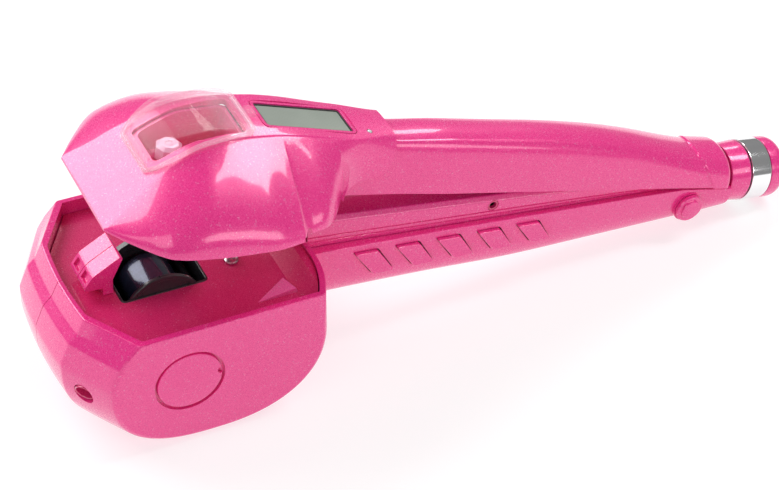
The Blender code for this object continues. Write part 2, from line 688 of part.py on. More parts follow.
def deck(root, looks):
    """The raised inner cover of the lower handle, which the jaw closes over."""
    rings, inner = [], []
    stations = sorted({74.0, 91.0, 111.0, 131.0, 154.0, 177.0, 200.0, 215.0, DECK_END})
    for x in stations:
        low, top = ledge(x) - 0.9, ledge(x) + along(x, DECK_RISE)
        rings.append([(x, y, z) for y, z in deck_outline(DECK_HALF, low, top, 1.9)])
    for x in [stations[0] - 1.0] + stations[1:-1] + [stations[-1] - 1.6]:
        low, top = ledge(x) - 9.0, ledge(x) + along(x, DECK_RISE) - 1.6
        inner.append([(x, y, z) for y, z in deck_outline(DECK_HALF - 1.6, low, top, 1.3)])
    piece = loft("handle_inner_cover", rings, root, looks["pink"])
    boolean(piece, loft("deck_inside", inner, root))
    boolean(piece, rod("lock_hole", LOCK_HOLE[0], LOCK_HOLE[1], 2.3, -20.0, 0.0, root, count=20))


def deck_outline(half, low, top, chamfer):
    near = [(half, low), (half, top - chamfer), (half - chamfer * 0.9, top)]
    return near + [(-y, z) for y, z in reversed(near)]


def side_fittings(root, looks):
    """Side discs, screw wells, screws and hinge caps."""
    for sign, side in ((-1.0, "near"), (1.0, "far")):
        face = sign * POD_HALF
        turned(
            f"side_disc_{side}",
            plug_profile((11.7, 0.0), (11.7, 0.6), (11.0, 1.0), (6.0, 1.25)),
            (DISC_SPOT[0], face - sign * 1.0, DISC_SPOT[1]), (0.0, sign, 0.0), root, looks["pink"], count=40,
        )
        index = 0 if sign < 0 else 1
        turned(
            f"screw_well_{side}",
            plug_profile((3.7, -9.0), (3.7, -0.6), (3.0, -0.6), (3.0, -7.4)),
            WELL_SPOTS[index], WELL_DIRECTION[index], root, looks["deep_pink"], count=20,
        )
        turned(
            f"front_screw_{side}",
            plug_profile((2.2, -7.1), (2.2, -5.9), (1.5, -5.5)),
            WELL_SPOTS[index], WELL_DIRECTION[index], root, looks["steel"], count=14,
        )
        turned(
            f"hinge_cap_{side}",
            plug_profile((5.8, 13.0), (5.8, 14.0), (5.4, 14.4), (4.1, 14.4), (4.1, 15.0), (3.6, 15.4)),
            (HINGE_X, 0.0, HINGE_Z), (0.0, sign, 0.0), root, looks["pink"], count=24,
        )
    for i, (x, z) in enumerate(SHELL_SCREWS):
        face = shell_face(x)
        turned(
            f"shell_screw_{i + 1}",
            plug_profile((1.2, -6.0), (1.2, 0.1), (2.5, 0.1), (2.5, 0.8), (1.8, 1.2)),
            (x, face - 1.3, z), (0.0, 1.0, 0.0), root, looks["steel"], count=14,
        )


def hinge(root, looks):
    """Pin and opening spring."""
    rod("hinge_pin", HINGE_X, HINGE_Z, 2.0, -12.6, 12.6, root, looks["steel"], count=16)
    wire, coil_r, turns, steps = 0.5, 3.4, 2, 14
    curve = bpy.data.curves.new("hinge_spring", "CURVE")
    curve.dimensions = "3D"
    path = [(HINGE_X - 18.0, 5.5, HINGE_Z - coil_r)]
    for i in range(turns * steps + 1):
        angle = -math.pi / 2 + 2.0 * math.pi * i / steps
        y = 5.5 + 2.4 * i / (turns * steps)
        path.append((HINGE_X + coil_r * math.cos(angle), y, HINGE_Z + coil_r * math.sin(angle)))
    line = curve.splines.new("POLY")
    line.points.add(len(path) - 1)
    for point, place in zip(line.points, path):
        point.co = (*(Vector(place) * MM), 1.0)
    curve.bevel_depth = wire * MM
    curve.bevel_resolution = 1
    curve.use_fill_caps = True
    curve.materials.append(looks["steel"])
    spring = bpy.data.objects.new("hinge_spring", curve)
    bpy.context.scene.collection.objects.link(spring)
    spring.parent = root.empty
    spring.location = -root.origin * MM


def swivel(root, looks):
    """Fixed collar, then the ring and end cap that turn with the cord."""
    start, r = TAIL_START, TAIL_R
    collar = [(4.9, start - 5.4), (7.2, start - 5.4), (7.2, start - 4.2), (5.8, start - 4.2)]
    collar.append((5.8, start + 0.3))
    collar += [(r - 0.9, start + 0.3), (r - 0.1, -4.9), (4.9, -4.9)]
    turned("tail_collar", collar, tail_point(0.0), tail_line(), root, looks["pink"], count=40)
    spin = Frame("swivel_axis", tail_point(0.0), root)
    ring = [(5.4, -4.4), (r - 0.1, -4.4), (r + 0.1, -4.1), (r + 0.1, 4.5), (r - 0.1, 4.8), (5.4, 4.8)]
    turned("swivel_ring", ring, tail_point(0.0), tail_line(), spin, looks["chrome"], count=40)
    end = [(2.8, start - 2.0), (4.5, start - 2.0), (4.5, 5.2), (r - 0.2, 5.2), (r, 5.6), (r, CAP_STRAIGHT)]
    for i in range(1, 6):
        angle = math.radians(18.0 * i)
        end.append((r - 3.6 + 3.6 * math.cos(angle), CAP_STRAIGHT + 3.6 * math.sin(angle)))
    end.append((2.8, CAP_STRAIGHT + 3.6))
    turned("cord_end_cap", end, tail_point(0.0), tail_line(), spin, looks["pink"], count=40)


# ---------------------------------------------------------------- upper arm


def jaw_covers(jaw, looks):
    """The head cover with its tongue, and the narrower handle cover behind it."""
    head = loft("head_cover", [head_ring(x) for x in head_stations(-13.2, HEAD_END)], jaw, looks["pink"])
    boolean(head, loft("head_inside", [head_ring(x, 2.0) for x in head_stations(-9.4, HEAD_END + 2.0)], jaw))
    way = rounded(TUB_X[0] - GAP, TUB_X[1] + GAP, -TUB_HALF - GAP, TUB_HALF + GAP, 2.0)
    boolean(head, prism("tub_way", way, 6.0, 40.0, jaw, plane="xy"))
    boolean(head, display_box("display_way", jaw, 2.2, -8.0, 8.0))
    hole = plug_profile((1.1, -6.0), (1.1, 6.0))
    boolean(head, turned("indicator_way", hole, INDICATOR, (0.2, 0.0, 1.0), jaw, count=12))
    outside = [sleeve_ring(x) for x in sleeve_stations(SLEEVE_START, SLEEVE_END)]
    sleeve = loft("upper_handle_cover", outside, jaw, looks["pink"])
    inside = [sleeve_ring(x, 2.0) for x in sleeve_stations(SLEEVE_START - 2.0, SLEEVE_END + 2.0)]
    boolean(sleeve, loft("sleeve_inside", inside, jaw))


def display_slope():
    low, high = along(LCD_X[0], HEAD_TOP), along(LCD_X[1], HEAD_TOP)
    return math.atan2(high - low, LCD_X[1] - LCD_X[0])


def display_box(name, jaw, grow, low, high, look=None):
    """A block in line with the display, from low to high above the head's surface."""
    slope = display_slope()
    start_z = along(LCD_X[0], HEAD_TOP)
    length = (LCD_X[1] - LCD_X[0]) / math.cos(slope)
    half = LCD_HALF + grow

    def place(u, w):
        x = LCD_X[0] + u * math.cos(slope) - w * math.sin(slope)
        return (x, start_z + u * math.sin(slope) + w * math.cos(slope))

    outline = [place(-grow, low), place(length + grow, low), place(length + grow, high), place(-grow, high)]
    return prism(name, outline, -half, half, jaw, look)


def display(jaw, looks):
    """Bezel, glass and board of the display, and the indicator lens."""
    bezel = display_box("display_bezel", jaw, 1.9, -3.4, -0.5, looks["deep_pink"])
    boolean(bezel, display_box("bezel_way", jaw, 0.3, -9.0, 9.0))
    display_box("display_glass", jaw, 0.0, -2.4, -1.1, looks["lcd"])
    display_box("display_board", jaw, 1.6, -6.2, -4.6, looks["board"])
    turned(
        "indicator_lens", plug_profile((0.8, -2.6), (0.8, -0.2), (0.5, 0.1)),
        INDICATOR, (0.2, 0.0, 1.0), jaw, looks["lens"], count=10,
    )


def lid_ring(x, width, inset=0.0):
    """A low trapezium across the lid at x."""
    base = along(x, HEAD_TOP) - 1.2
    top = along(x, LID_TOP) - inset
    slope = min(2.6, width * 0.2)
    low = base if not inset else base - 6.0
    w = width - inset
    shoulder = min(base + 1.6, top - 0.4)
    near = [(x, w, low), (x, w, shoulder), (x, w - slope, top)]
    return near + [(x, -y, z) for x, y, z in reversed(near)]


def tank(jaw, looks):
    """Small tank under a clear lid: tub, stopper, lid and latch."""
    outside = rounded(*TUB_X, -TUB_HALF, TUB_HALF, 1.8)
    inside = rounded(TUB_X[0] + 1.2, TUB_X[1] - 1.2, -TUB_HALF + 1.2, TUB_HALF - 1.2, 1.2)
    tub = prism("tank_tub", outside, TUB_FLOOR - 1.2, 23.0, jaw, looks["deep_pink"], plane="xy")
    boolean(tub, prism("tub_inside", inside, TUB_FLOOR, 40.0, jaw, plane="xy"))
    shave = [(x, along(x, HEAD_TOP) - 1.9) for x in (-2.0, 6.0, 9.7, 16.0, 22.0, 28.0, 33.0, 44.0)]
    boolean(tub, prism("tub_shave", shave + [(44.0, 60.0), (-2.0, 60.0)], -20.0, 20.0, jaw))

    stopper_frame = Frame("stopper_axis", (STOPPER_X, STOPPER_Y, TUB_FLOOR), jaw)
    turned(
        "tank_stopper",
        plug_profile((3.4, 0.4), (3.4, 3.0), (4.4, 3.6), (4.4, 7.4), (3.2, 8.4)),
        (STOPPER_X, STOPPER_Y, TUB_FLOOR), (0.0, 0.0, 1.0), stopper_frame, looks["pale_pink"], count=10,
    )

    lid_frame = Frame("lid_hinge", (LID_HINGE[0], 0.0, LID_HINGE[1]), jaw)
    marks = [m[0] for m in LID_WIDTH]
    lid = loft("tank_lid", [lid_ring(x, along(x, LID_WIDTH)) for x in marks], lid_frame, looks["clear"])
    inner = [marks[0] + 1.6] + marks[1:-1] + [marks[-1] - 1.5]
    boolean(lid, loft("lid_inside", [lid_ring(x, along(x, LID_WIDTH), 1.3) for x in inner], lid_frame))
    skin = loft("lid_skin_cut", [head_ring(x) for x in head_stations(-13.2, HEAD_END)], lid_frame)
    grown = skin.modifiers.new("grow", "DISPLACE")
    grown.strength = 0.35 * MM
    grown.mid_level = 0.0
    boolean(lid, skin)
    box("lid_latch", (42.2, -2.6, 25.4), (45.2, 2.6, 27.0), jaw, looks["clear"])


def jaw_insides(jaw, looks):
    """Plate that closes the head from below, chamber hood and chassis with the hinge lug."""
    plate = prism("jaw_plate", jaw_plate_plan(), 1.0, 2.6, jaw, looks["deep_pink"], plane="xy")
    boolean(plate, prism("hood_way", rounded(-9.0, 34.6, -16.6, 16.6, 2.0), -5.0, 9.0, jaw, plane="xy"))
    outer = arc(17.4, 44.0, 136.0)
    inner = arc(15.8, 136.0, 44.0)
    hood = prism("chamber_hood", outer + inner, -16.0, 16.0, jaw, looks["black"])
    for i, (low, high) in enumerate(((-16.0, -14.8), (14.8, 16.0))):
        boolean(hood, prism(f"hood_wall_{i}", arc(16.6, 44.0, 136.0), low, high, jaw), "UNION")

    top = [(x, along(x, SLEEVE_TOP) - 3.6) for x in (99.0, 138.0, 174.0, 219.0, 238.0)]
    low = [(x, along(x, SLEEVE_TOP) - 7.4) for x in (232.0, 219.0, 174.0, 138.0, 99.0)]
    lug = []
    for angle in range(30, -181, -30):
        turn = math.radians(angle)
        lug.append((HINGE_X + LUG_R * math.cos(turn), HINGE_Z + LUG_R * math.sin(turn)))
    chassis = prism("jaw_chassis", top + lug + low, -LUG_HALF, LUG_HALF, jaw, looks["black"])
    boolean(chassis, rod("chassis_bore", HINGE_X, HINGE_Z, 2.3, -20.0, 20.0, jaw, count=16))
    for i, (x, y) in enumerate(JAW_SCREWS):
        boolean(plate, prism(f"plate_screw_way_{i}", circle(x, y, 1.5, 12), -6.0, 9.0, jaw, plane="xy"))
        turned(
            f"jaw_screw_{i + 1}",
            plug_profile((1.2, -7.0), (1.2, 0.1), (2.6, 0.1), (2.6, 0.8)),
            (x, y, 0.7), (0.0, 0.0, -1.0), jaw, looks["steel"], count=14,
        )


def arc(radius, start, end, steps=10):
    angles = [math.radians(start + (end - start) * i / steps) for i in range(steps + 1)]
    return [(BARREL_X + radius * math.cos(a), BARREL_Z + radius * math.sin(a)) for a in angles]


def jaw_plate_plan():
    """The inside of the head at the plate's height."""
    rows = (-6.5, -1.0, 10.0, 30.0, 55.0, 62.0, 66.0)
    near = [(x, along(x, HEAD_HALF) - 3.4 - (1.6 if x < 5.0 else 0.0)) for x in rows]
    return near + [(x, -y) for x, y in reversed(near)]


def main():
    clear_scene()
    looks = {
        "pink": finish("pink_gloss", PINK, 0.25),
        "deep_pink": finish("deep_pink_gloss", DEEP_PINK, 0.3),
        "pale_pink": finish("pale_pink", (0.9, 0.45, 0.6), 0.3),
        "black": finish("black_plastic", BLACK, 0.3),
        "barrel": finish("barrel_coating", (0.02, 0.02, 0.035), 0.2, 0.6),
        "ceramic": finish("ceramic", (0.75, 0.72, 0.66), 0.6),
        "steel": finish("steel", (0.62, 0.62, 0.63), 0.3, 1.0),
        "chrome": finish("chrome", (0.86, 0.86, 0.87), 0.12, 1.0),
        "brass": finish("brass", (0.75, 0.55, 0.25), 0.35, 1.0),
        "gear": finish("gear_plastic", (0.85, 0.84, 0.78), 0.5),
        "board": finish("circuit_board", (0.05, 0.22, 0.10), 0.5),
        "clear": finish("clear_plastic", (0.95, 0.80, 0.86), 0.05, 0.0, 0.35),
        "lcd": finish("display_glass", (0.33, 0.38, 0.33), 0.2),
        "lens": finish("indicator", (0.6, 0.6, 0.62), 0.2),
    }
    root = Frame("curler", (0.0, 0.0, 0.0))
    lower_shells(root, looks)
    tray(root, looks)
    hair_guide(root, looks)
    chamber(root, looks)
    drive(root, looks)
    electronics(root, looks)
    deck(root, looks)
    side_fittings(root, looks)
    hinge(root, looks)
    keys(root, looks)
    swivel(root, looks)
    jaw = Frame("jaw_hinge", (HINGE_X, 0.0, HINGE_Z), root, OPEN_ANGLE)
    jaw_covers(jaw, looks)
    display(jaw, looks)
    tank(jaw, looks)
    jaw_insides(jaw, looks)


main()
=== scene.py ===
"""Finished look of an automatic hair curler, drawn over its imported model.

Shapes are drawn in millimetres: x from the pod's front to the tail, y across, z up from the pod's rim,
with the jaw closed. world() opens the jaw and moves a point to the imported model's frame, in metres.
"""

import bisect
import json
import math

import bmesh
import bpy
from bpy.props import FloatProperty, FloatVectorProperty, IntProperty, PointerProperty
from mathutils import Matrix, Vector

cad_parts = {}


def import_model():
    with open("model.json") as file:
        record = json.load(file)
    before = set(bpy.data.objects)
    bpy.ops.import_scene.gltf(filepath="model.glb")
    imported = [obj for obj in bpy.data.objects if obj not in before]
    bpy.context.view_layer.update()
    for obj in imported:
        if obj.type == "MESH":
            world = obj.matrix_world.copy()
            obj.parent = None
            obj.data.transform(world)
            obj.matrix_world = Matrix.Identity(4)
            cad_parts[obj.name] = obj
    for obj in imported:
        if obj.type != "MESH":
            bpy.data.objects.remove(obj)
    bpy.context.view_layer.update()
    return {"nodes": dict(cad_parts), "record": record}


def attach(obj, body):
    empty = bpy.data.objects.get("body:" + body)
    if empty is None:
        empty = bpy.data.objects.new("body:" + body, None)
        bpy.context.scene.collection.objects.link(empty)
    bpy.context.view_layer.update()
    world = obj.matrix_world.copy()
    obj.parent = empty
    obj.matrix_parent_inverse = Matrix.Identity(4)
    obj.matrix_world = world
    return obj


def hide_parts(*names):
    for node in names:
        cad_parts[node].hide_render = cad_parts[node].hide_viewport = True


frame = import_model()

bl_info = {
    "name": "Automatic hair curler",
    "version": (1, 0, 0),
    "blender": (4, 5, 0),
    "location": "View3D > Sidebar > Curler",
    "description": "Builds the finished pieces, materials and studio of a jawed automatic hair curler",
    "category": "Object",
}

MM = 0.001

# Overall placing
RIM_HEIGHT = 51.5
X_MIDDLE = 130.85
GAP = 0.3
WALL = 2.2

# Pod
POD_HALF = 40.5
POD_FLAT_HALF = 21.0
RIM_FRONT = (-15.0, -1.0)
BEVEL_UPPER = ((-17.6, -6.0), (-5.6, -5.2))
BEVEL_LOWER = ((-20.6, -9.0), (-8.2, -9.4))
BELLY_FRONT = (-23.6, -10.8)
BELLY_REAR = (71.6, 68.0)
BELLY_MIDDLE = -17.0
BELLY_DEPTH = (35.4, 32.9)
BELLY_POWER = (2.7, 2.3)
RIM_REAR = (72.0, 66.6)
LIP = 1.5
FLOOR_Z = -5.4
FLOOR_THICK = 1.8
DISC_SPOT = (16.8, -22.5)
WELL_SPOTS = ((-18.2, -29.5, -27.0), (-18.2, 29.5, -27.0))
WELL_DIRECTION = ((-0.72, -0.60, -0.30), (-0.72, 0.60, -0.30))
TRAY_SCREWS = ((46.0, -7.0), (46.0, 20.0))
SHELL_SCREWS = ((28.0, -41.0), (120.0, -24.0), (205.0, -34.0))
CHAMBER_X = (3.0, 35.0)
CHAMBER_HALF = 13.3
BARREL = (18.4, -13.0)
DISC_R = 14.4

# Handle
PART_START = (75.0, -6.5)
PART_SLOPE = -0.1345
HINGE = (237.0, -37.0)
OPEN_ANGLE = 8.2
GRIP_START = 62.0
GRIP_END = 260.0
GRIP_HALF = ((62.0, 15.0), (75.0, 13.6), (95.0, 12.9), (130.0, 12.4), (215.0, 12.0), (260.0, 12.6))
GRIP_BOTTOM = (
    (62.0, -30.0), (80.0, -31.9), (121.0, -36.5), (163.0, -41.6), (200.0, -43.8), (260.0, -47.3),
)
GRIP_POWER = ((62.0, 3.6), (200.0, 3.4), (238.0, 3.0), (260.0, 2.0))
DECK_HALF = 9.6
DECK_RISE = ((74.0, 12.6), (91.0, 12.0), (131.0, 10.4), (177.0, 8.4), (215.0, 5.4), (230.0, 3.4))
DECK_START = 74.0
DECK_END = 229.0
LOCK_HOLE = (149.5, -11.0)

# Head and upper handle cover, drawn closed
HEAD_FRONT = -13.2
TONGUE_END = 98.4
CREST_X = 50.5
HEAD_HALF = (
    (-13.2, 20.0), (-8.7, 26.3), (-4.1, 31.9), (0.5, 36.8), (4.0, 39.3), (12.0, 41.3), (25.0, 42.4),
    (38.0, 42.6), (50.0, 40.6), (60.0, 36.0), (66.0, 31.0), (71.0, 24.5), (75.0, 19.0), (79.0, 15.6),
    (85.0, 13.8), (96.4, 13.4), (104.0, 13.3),
)
HEAD_BEND = (
    (-13.2, 0.6), (12.0, 0.62), (24.0, 0.5), (38.0, 0.34), (50.0, 0.2), (66.0, 0.35), (79.0, 0.8),
)
HEAD_TOP = (
    (-13.2, 1.8), (-6.6, 6.4), (2.3, 14.0), (9.7, 19.2), (22.0, 24.6), (33.0, 25.8), (48.0, 24.8),
    (81.6, 17.4), (96.4, 14.8), (104.0, 13.6),
)
HEAD_CREASE = (
    (-13.2, 20.4), (-6.6, 18.6), (2.3, 16.2), (9.7, 14.4), (22.0, 13.0), (48.0, 12.3), (80.0, 11.0),
    (96.4, 8.0), (104.0, 7.2),
)
SLEEVE_START = 74.0
SLEEVE_END = 254.0
SLEEVE_HALF = ((74.0, 12.4), (215.0, 12.1), (254.0, 12.6))
SLEEVE_TOP = (
    (74.0, 15.6), (96.8, 13.6), (109.0, 11.8), (128.0, 8.7), (147.0, 5.6), (167.0, 2.3), (188.0, -2.0),
    (209.0, -7.3), (232.0, -14.4), (240.0, -16.6), (254.0, -19.0),
)
SLEEVE_CREASE = ((74.0, 6.6), (96.8, 6.4), (174.0, 5.8), (240.0, 5.6), (254.0, 5.2))

# Keys
KEY_NAMES = ("key_power", "key_heat", "key_time", "key_direction", "key_mode")
KEY_LEFT = 91.0
KEY_PITCH = 17.0
KEY_WIDTH = 9.6
KEY_HEIGHT = (12.0, 10.0)
KEY_SLANT = 0.68
KEY_STAND = 1.6
KEY_DROP = 2.8

# Swivel tail
TAIL_X = 271.0
TAIL_TURN = math.radians(10.0)
TAIL_R = 12.2
TAIL_START = -14.0
CAP_STRAIGHT = 9.4
TAIL_Z = -RIM_HEIGHT + TAIL_R * math.cos(TAIL_TURN) + CAP_STRAIGHT * math.sin(TAIL_TURN)

# Tank and display
TUB_X = (6.0, 38.6)
TUB_HALF = 9.4
TUB_FLOOR = 9.0
LCD_X = (48.4, 81.4)
LCD_HALF = 5.9
STOPPER = (15.0, -1.5)
INDICATOR = (88.6, -6.0, 15.9)
LID_WIDTH = ((2.4, 10.6), (6.0, 13.4), (14.5, 14.6), (27.5, 14.2), (38.5, 12.6), (41.6, 9.6))
LID_TOP = ((2.4, 16.6), (6.0, 22.7), (14.5, 28.2), (27.5, 29.2), (38.5, 26.6), (41.6, 25.9))
JAW_SCREWS = ((52.0, -28.0), (52.0, 28.0))


# ---------------------------------------------------------------- numbers and outlines


def along(x, stations):
    """Value at x of a smooth line through the stations that never overshoots them."""
    places = [s[0] for s in stations]
    values = [s[1] for s in stations]
    if x <= places[0]:
        return values[0]
    if x >= places[-1]:
        return values[-1]
    last = len(places) - 1
    k = min(bisect.bisect_right(places, x) - 1, last - 1)

    def rise(i):
        return (values[i + 1] - values[i]) / (places[i + 1] - places[i])

    def slope(i):
        if i == 0:
            return rise(0)
        if i == last:
            return rise(last - 1)
        before, after = rise(i - 1), rise(i)
        return 0.0 if before * after <= 0.0 else 2.0 * before * after / (before + after)

    width = places[k + 1] - places[k]
    t = (x - places[k]) / width
    start = (1 + 2 * t) * (1 - t) ** 2 * values[k] + t * (1 - t) ** 2 * width * slope(k)
    end = t * t * (3 - 2 * t) * values[k + 1] + t * t * (t - 1) * width * slope(k + 1)
    return start + end


def mix(pair, t):
    return pair[0] + (pair[1] - pair[0]) * t


def power(value, exponent):
    return math.copysign(abs(value) ** exponent, value)


def ease(x, start, end):
    """0 before start, 1 after end, and a soft S between."""
    t = min(1.0, max(0.0, (x - start) / (end - start)))
    return t * t * (3.0 - 2.0 * t)


def ramp(value, start, end, soft):
    """0 before start and straight up to 1 at end, with the bend at start softened."""
    slope = 1.0 / (end - start)
    if value <= start - soft:
        return 0.0
    if value < start + soft:
        return slope * (value - start + soft) ** 2 / (4.0 * soft)
    return slope * (value - start)


def round_over(distance, radius):
    """How far a surface draws back at this distance inside its edge, where the edge has a radius."""
    t = max(0.0, 1.0 - distance / radius)
    return radius * (1.0 - math.sqrt(max(0.0, 1.0 - t * t)))


def part_line(x):
    return PART_START[1] + PART_SLOPE * (x - PART_START[0])


def opened(x, z):
    turn = math.radians(OPEN_ANGLE)
    dx, dz = x - HINGE[0], z - HINGE[1]
    return (
        HINGE[0] + dx * math.cos(turn) + dz * math.sin(turn),
        HINGE[1] - dx * math.sin(turn) + dz * math.cos(turn),
    )


def ledge(x):
    """Top edge of the grip. Behind the hinge it drops away from the opened jaw."""
    if x <= HINGE[0] - 3.0:
        return part_line(x) - GAP
    start = part_line(HINGE[0] - 3.0) - GAP
    end_x, end_z = opened(SLEEVE_END, part_line(SLEEVE_END))
    t = (x - HINGE[0] + 3.0) / (end_x - HINGE[0] + 3.0)
    return start + (end_z - 0.7 - start) * t


def world(point, jaw=False):
    x, y, z = point
    if jaw:
        x, z = opened(x, z)
    return Vector(((x - X_MIDDLE) * MM, y * MM, (z + RIM_HEIGHT) * MM))


def steps_between(start, end, count):
    return [start + (end - start) * i / count for i in range(count + 1)]


def eased(points, corners, steps=4):
    """The points with each numbered corner rounded. corners maps an index to the arc's reach."""
    made = []
    for i, point in enumerate(points):
        if i not in corners:
            made.append(tuple(point))
            continue
        here = Vector(point)
        back, on = Vector(points[i - 1]) - here, Vector(points[(i + 1) % len(points)]) - here
        start = here + back.normalized() * min(corners[i], back.length * 0.48)
        end = here + on.normalized() * min(corners[i], on.length * 0.48)
        for k in range(steps + 1):
            t = k / steps
            made.append(tuple(start * (1 - t) ** 2 + here * (2 * t * (1 - t)) + end * (t * t)))
    return made


def circle(cx, cz, radius, count=48):
    angles = [2.0 * math.pi * i / count for i in range(count)]
    return [(cx + radius * math.cos(a), cz + radius * math.sin(a)) for a in angles]


def rounded(x0, x1, y0, y1, radius, steps=8):
    """A rectangle with round corners."""
    corners = [(x1, y1), (x0, y1), (x0, y0), (x1, y0)]
    return eased(corners, {0: radius, 1: radius, 2: radius, 3: radius}, steps)


def plug_profile(*steps):
    """A profile closed on its axis, from (radius, height) steps."""
    return [(0.0, steps[0][1]), *steps, (0.0, steps[-1][1])]


# ---------------------------------------------------------------- meshes


def raw(points, faces, jaw=False):
    """A loose object from points in the drawing frame."""
    mesh = bpy.data.meshes.new("raw")
    mesh.from_pydata([world(p, jaw) for p in points], [], faces)
    work = bmesh.new()
    work.from_mesh(mesh)
    bmesh.ops.remove_doubles(work, verts=work.verts, dist=0.000002)
    bmesh.ops.recalc_face_normals(work, faces=work.faces)
    work.to_mesh(mesh)
    work.free()
    obj = bpy.data.objects.new("raw", mesh)
    bpy.context.scene.collection.objects.link(obj)
    return obj


def loft(rings, jaw=False, closed=False):
    """A skin over rings of equal count, capped at both ends or closed into a loop."""
    count = len(rings[0])
    points = [p for ring in rings for p in ring]
    faces = []
    if not closed:
        faces.append(list(range(count)))
        faces.append([len(points) - count + i for i in range(count)])
    for r in range(len(rings) if closed else len(rings) - 1):
        for i in range(count):
            j = (i + 1) % count
            a, b = r * count, (r + 1) % len(rings) * count
            faces.append([a + i, a + j, b + j, b + i])
    return raw(points, faces, jaw)


def prism(outline, low, high, jaw=False, plane="xz"):
    """An outline in the xz or xy plane, extruded along the third axis."""
    if plane == "xz":
        rings = [[(a, c, b) for a, b in outline] for c in (low, high)]
    else:
        rings = [[(a, b, c) for a, b in outline] for c in (low, high)]
    return loft(rings, jaw)


def block(low, high, jaw=False):
    outline = [(low[0], low[2]), (high[0], low[2]), (high[0], high[2]), (low[0], high[2])]
    return prism(outline, low[1], high[1], jaw)


def rod(cx, cz, radius, low, high, jaw=False, count=48):
    return prism(circle(cx, cz, radius, count), low, high, jaw)


def turned(profile, base, direction, jaw=False, count=96):
    """A closed profile of (radius, height) turned round a line that starts at base."""
    turn = Vector(direction).normalized().to_track_quat("Z", "Y").to_matrix()
    rings = []
    for i in range(count):
        angle = 2.0 * math.pi * i / count
        arm = Vector((math.cos(angle), math.sin(angle), 0.0))
        rings.append([tuple(Vector(base) + turn @ (arm * r + Vector((0.0, 0.0, h)))) for r, h in profile])
    return loft(rings, jaw, closed=True)


def sweep(path, section, jaw=False):
    """A section of (out, up) carried round a closed plan path of (x, y, z), with out square to it."""
    rings = []
    for i, point in enumerate(path):
        before, after = path[i - 1], path[(i + 1) % len(path)]
        line = Vector((after[0] - before[0], after[1] - before[1], 0.0)).normalized()
        out = Vector((line.y, -line.x, 0.0))
        rings.append([tuple(Vector(point) + out * a + Vector((0.0, 0.0, b))) for a, b in section])
    return loft(rings, jaw, closed=True)


def settle(obj):
    """The object's modifiers applied, leaving a plain mesh."""
    bpy.context.view_layer.update()
    graph = bpy.context.evaluated_depsgraph_get()
    made = bpy.data.meshes.new_from_object(obj.evaluated_get(graph))
    obj.modifiers.clear()
    obj.data = made
    return obj


def combine(target, operation, *others):
    """Booleans with each of the others in turn, which are then removed."""
    for other in others:
        modifier = target.modifiers.new("combine", "BOOLEAN")
        modifier.operation = operation
        modifier.solver = "MANIFOLD"
        modifier.object = other
    before = len(target.data.polygons)
    settle(target)
    if not target.data.polygons:
        raise RuntimeError(f"a {operation} of {before} faces left nothing")
    for other in others:
        bpy.data.objects.remove(other)
    return target


def complete(obj, name, body, look, nodes=(), bevel=0.0, angle=32.0):
    """Names a piece, softens its edges, gives it its finish and hangs it on its body."""
    if bevel:
        modifier = obj.modifiers.new("edges", "BEVEL")
        modifier.width = bevel * MM
        modifier.segments = 2
        modifier.limit_method = "ANGLE"
        modifier.angle_limit = math.radians(30.0)
        settle(obj)
    obj.name = name
    obj.data.name = name
    obj.data.materials.clear()
    obj.data.materials.append(FINISHES[look])
    for polygon in obj.data.polygons:
        polygon.material_index = 0
    obj.data.shade_smooth()
    obj.data.set_sharp_from_angle(angle=math.radians(angle))
    modifier = obj.modifiers.new("normals", "WEIGHTED_NORMAL")
    modifier.keep_sharp = True
    settle(obj)
    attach(obj, body)
    if nodes:
        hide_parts(*nodes)
    return obj


# ---------------------------------------------------------------- outer outlines


def pod_section(y, wall=0.0):
    """The pod's outline in the plane y. With a wall it is the inside, open above the rim."""
    sizes = bpy.context.scene.curler_sizes
    out = abs(y) + wall
    side = ramp(out, POD_FLAT_HALF, POD_HALF, 0.5)
    crown = 1.4 * min(1.0, out / POD_FLAT_HALF) ** 2 * (1.0 - side)
    shrink = wall if wall else round_over(POD_HALF - out, sizes.pod_edge)
    lip_drop = 0.0 if wall else round_over(POD_HALF - out, 0.6)
    front = mix(BELLY_FRONT, side) + crown + shrink
    rear = mix(BELLY_REAR, side**2) - shrink
    depth = mix(BELLY_DEPTH, side**1.5) - shrink
    rim_front = mix(RIM_FRONT, side) + crown
    rim_rear = mix(RIM_REAR, side**2)
    upper = [mix((BEVEL_UPPER[0][k], BEVEL_UPPER[1][k]), side) for k in (0, 1)]
    lower = [mix((BEVEL_LOWER[0][k], BEVEL_LOWER[1][k]), side) for k in (0, 1)]
    if wall:
        points = [(rim_front + LIP, 4.0), (rim_front + LIP, FLOOR_Z - FLOOR_THICK - 1.0)]
        points.append((lower[0] + crown + wall + 1.6, lower[1] - 2.4))
    else:
        back = 0.5 * shrink
        points = [
            (rim_front + back, -lip_drop), (upper[0] + crown + back, upper[1]),
            (lower[0] + crown + shrink, lower[1]),
        ]
    middle_x = 22.0 + 6.0 * side
    steps = 72
    for i in range(steps + 1):
        angle = math.pi * i / steps
        reach = middle_x - front if angle < math.pi / 2 else rear - middle_x
        exponent = 2.0 / BELLY_POWER[0 if angle < math.pi / 2 else 1]
        x = middle_x - reach * power(math.cos(angle), exponent)
        z = BELLY_MIDDLE - depth * power(math.sin(angle), exponent)
        points.append((x, max(z, -RIM_HEIGHT + wall)))
    points.append((rim_rear - 1.6, 4.0) if wall else (rim_rear, -lip_drop))
    if not wall:
        points = eased(points, {0: 0.5, 1: 0.7, 2: 0.7, len(points) - 1: 0.5})
    return [(x, y, z) for x, z in points]


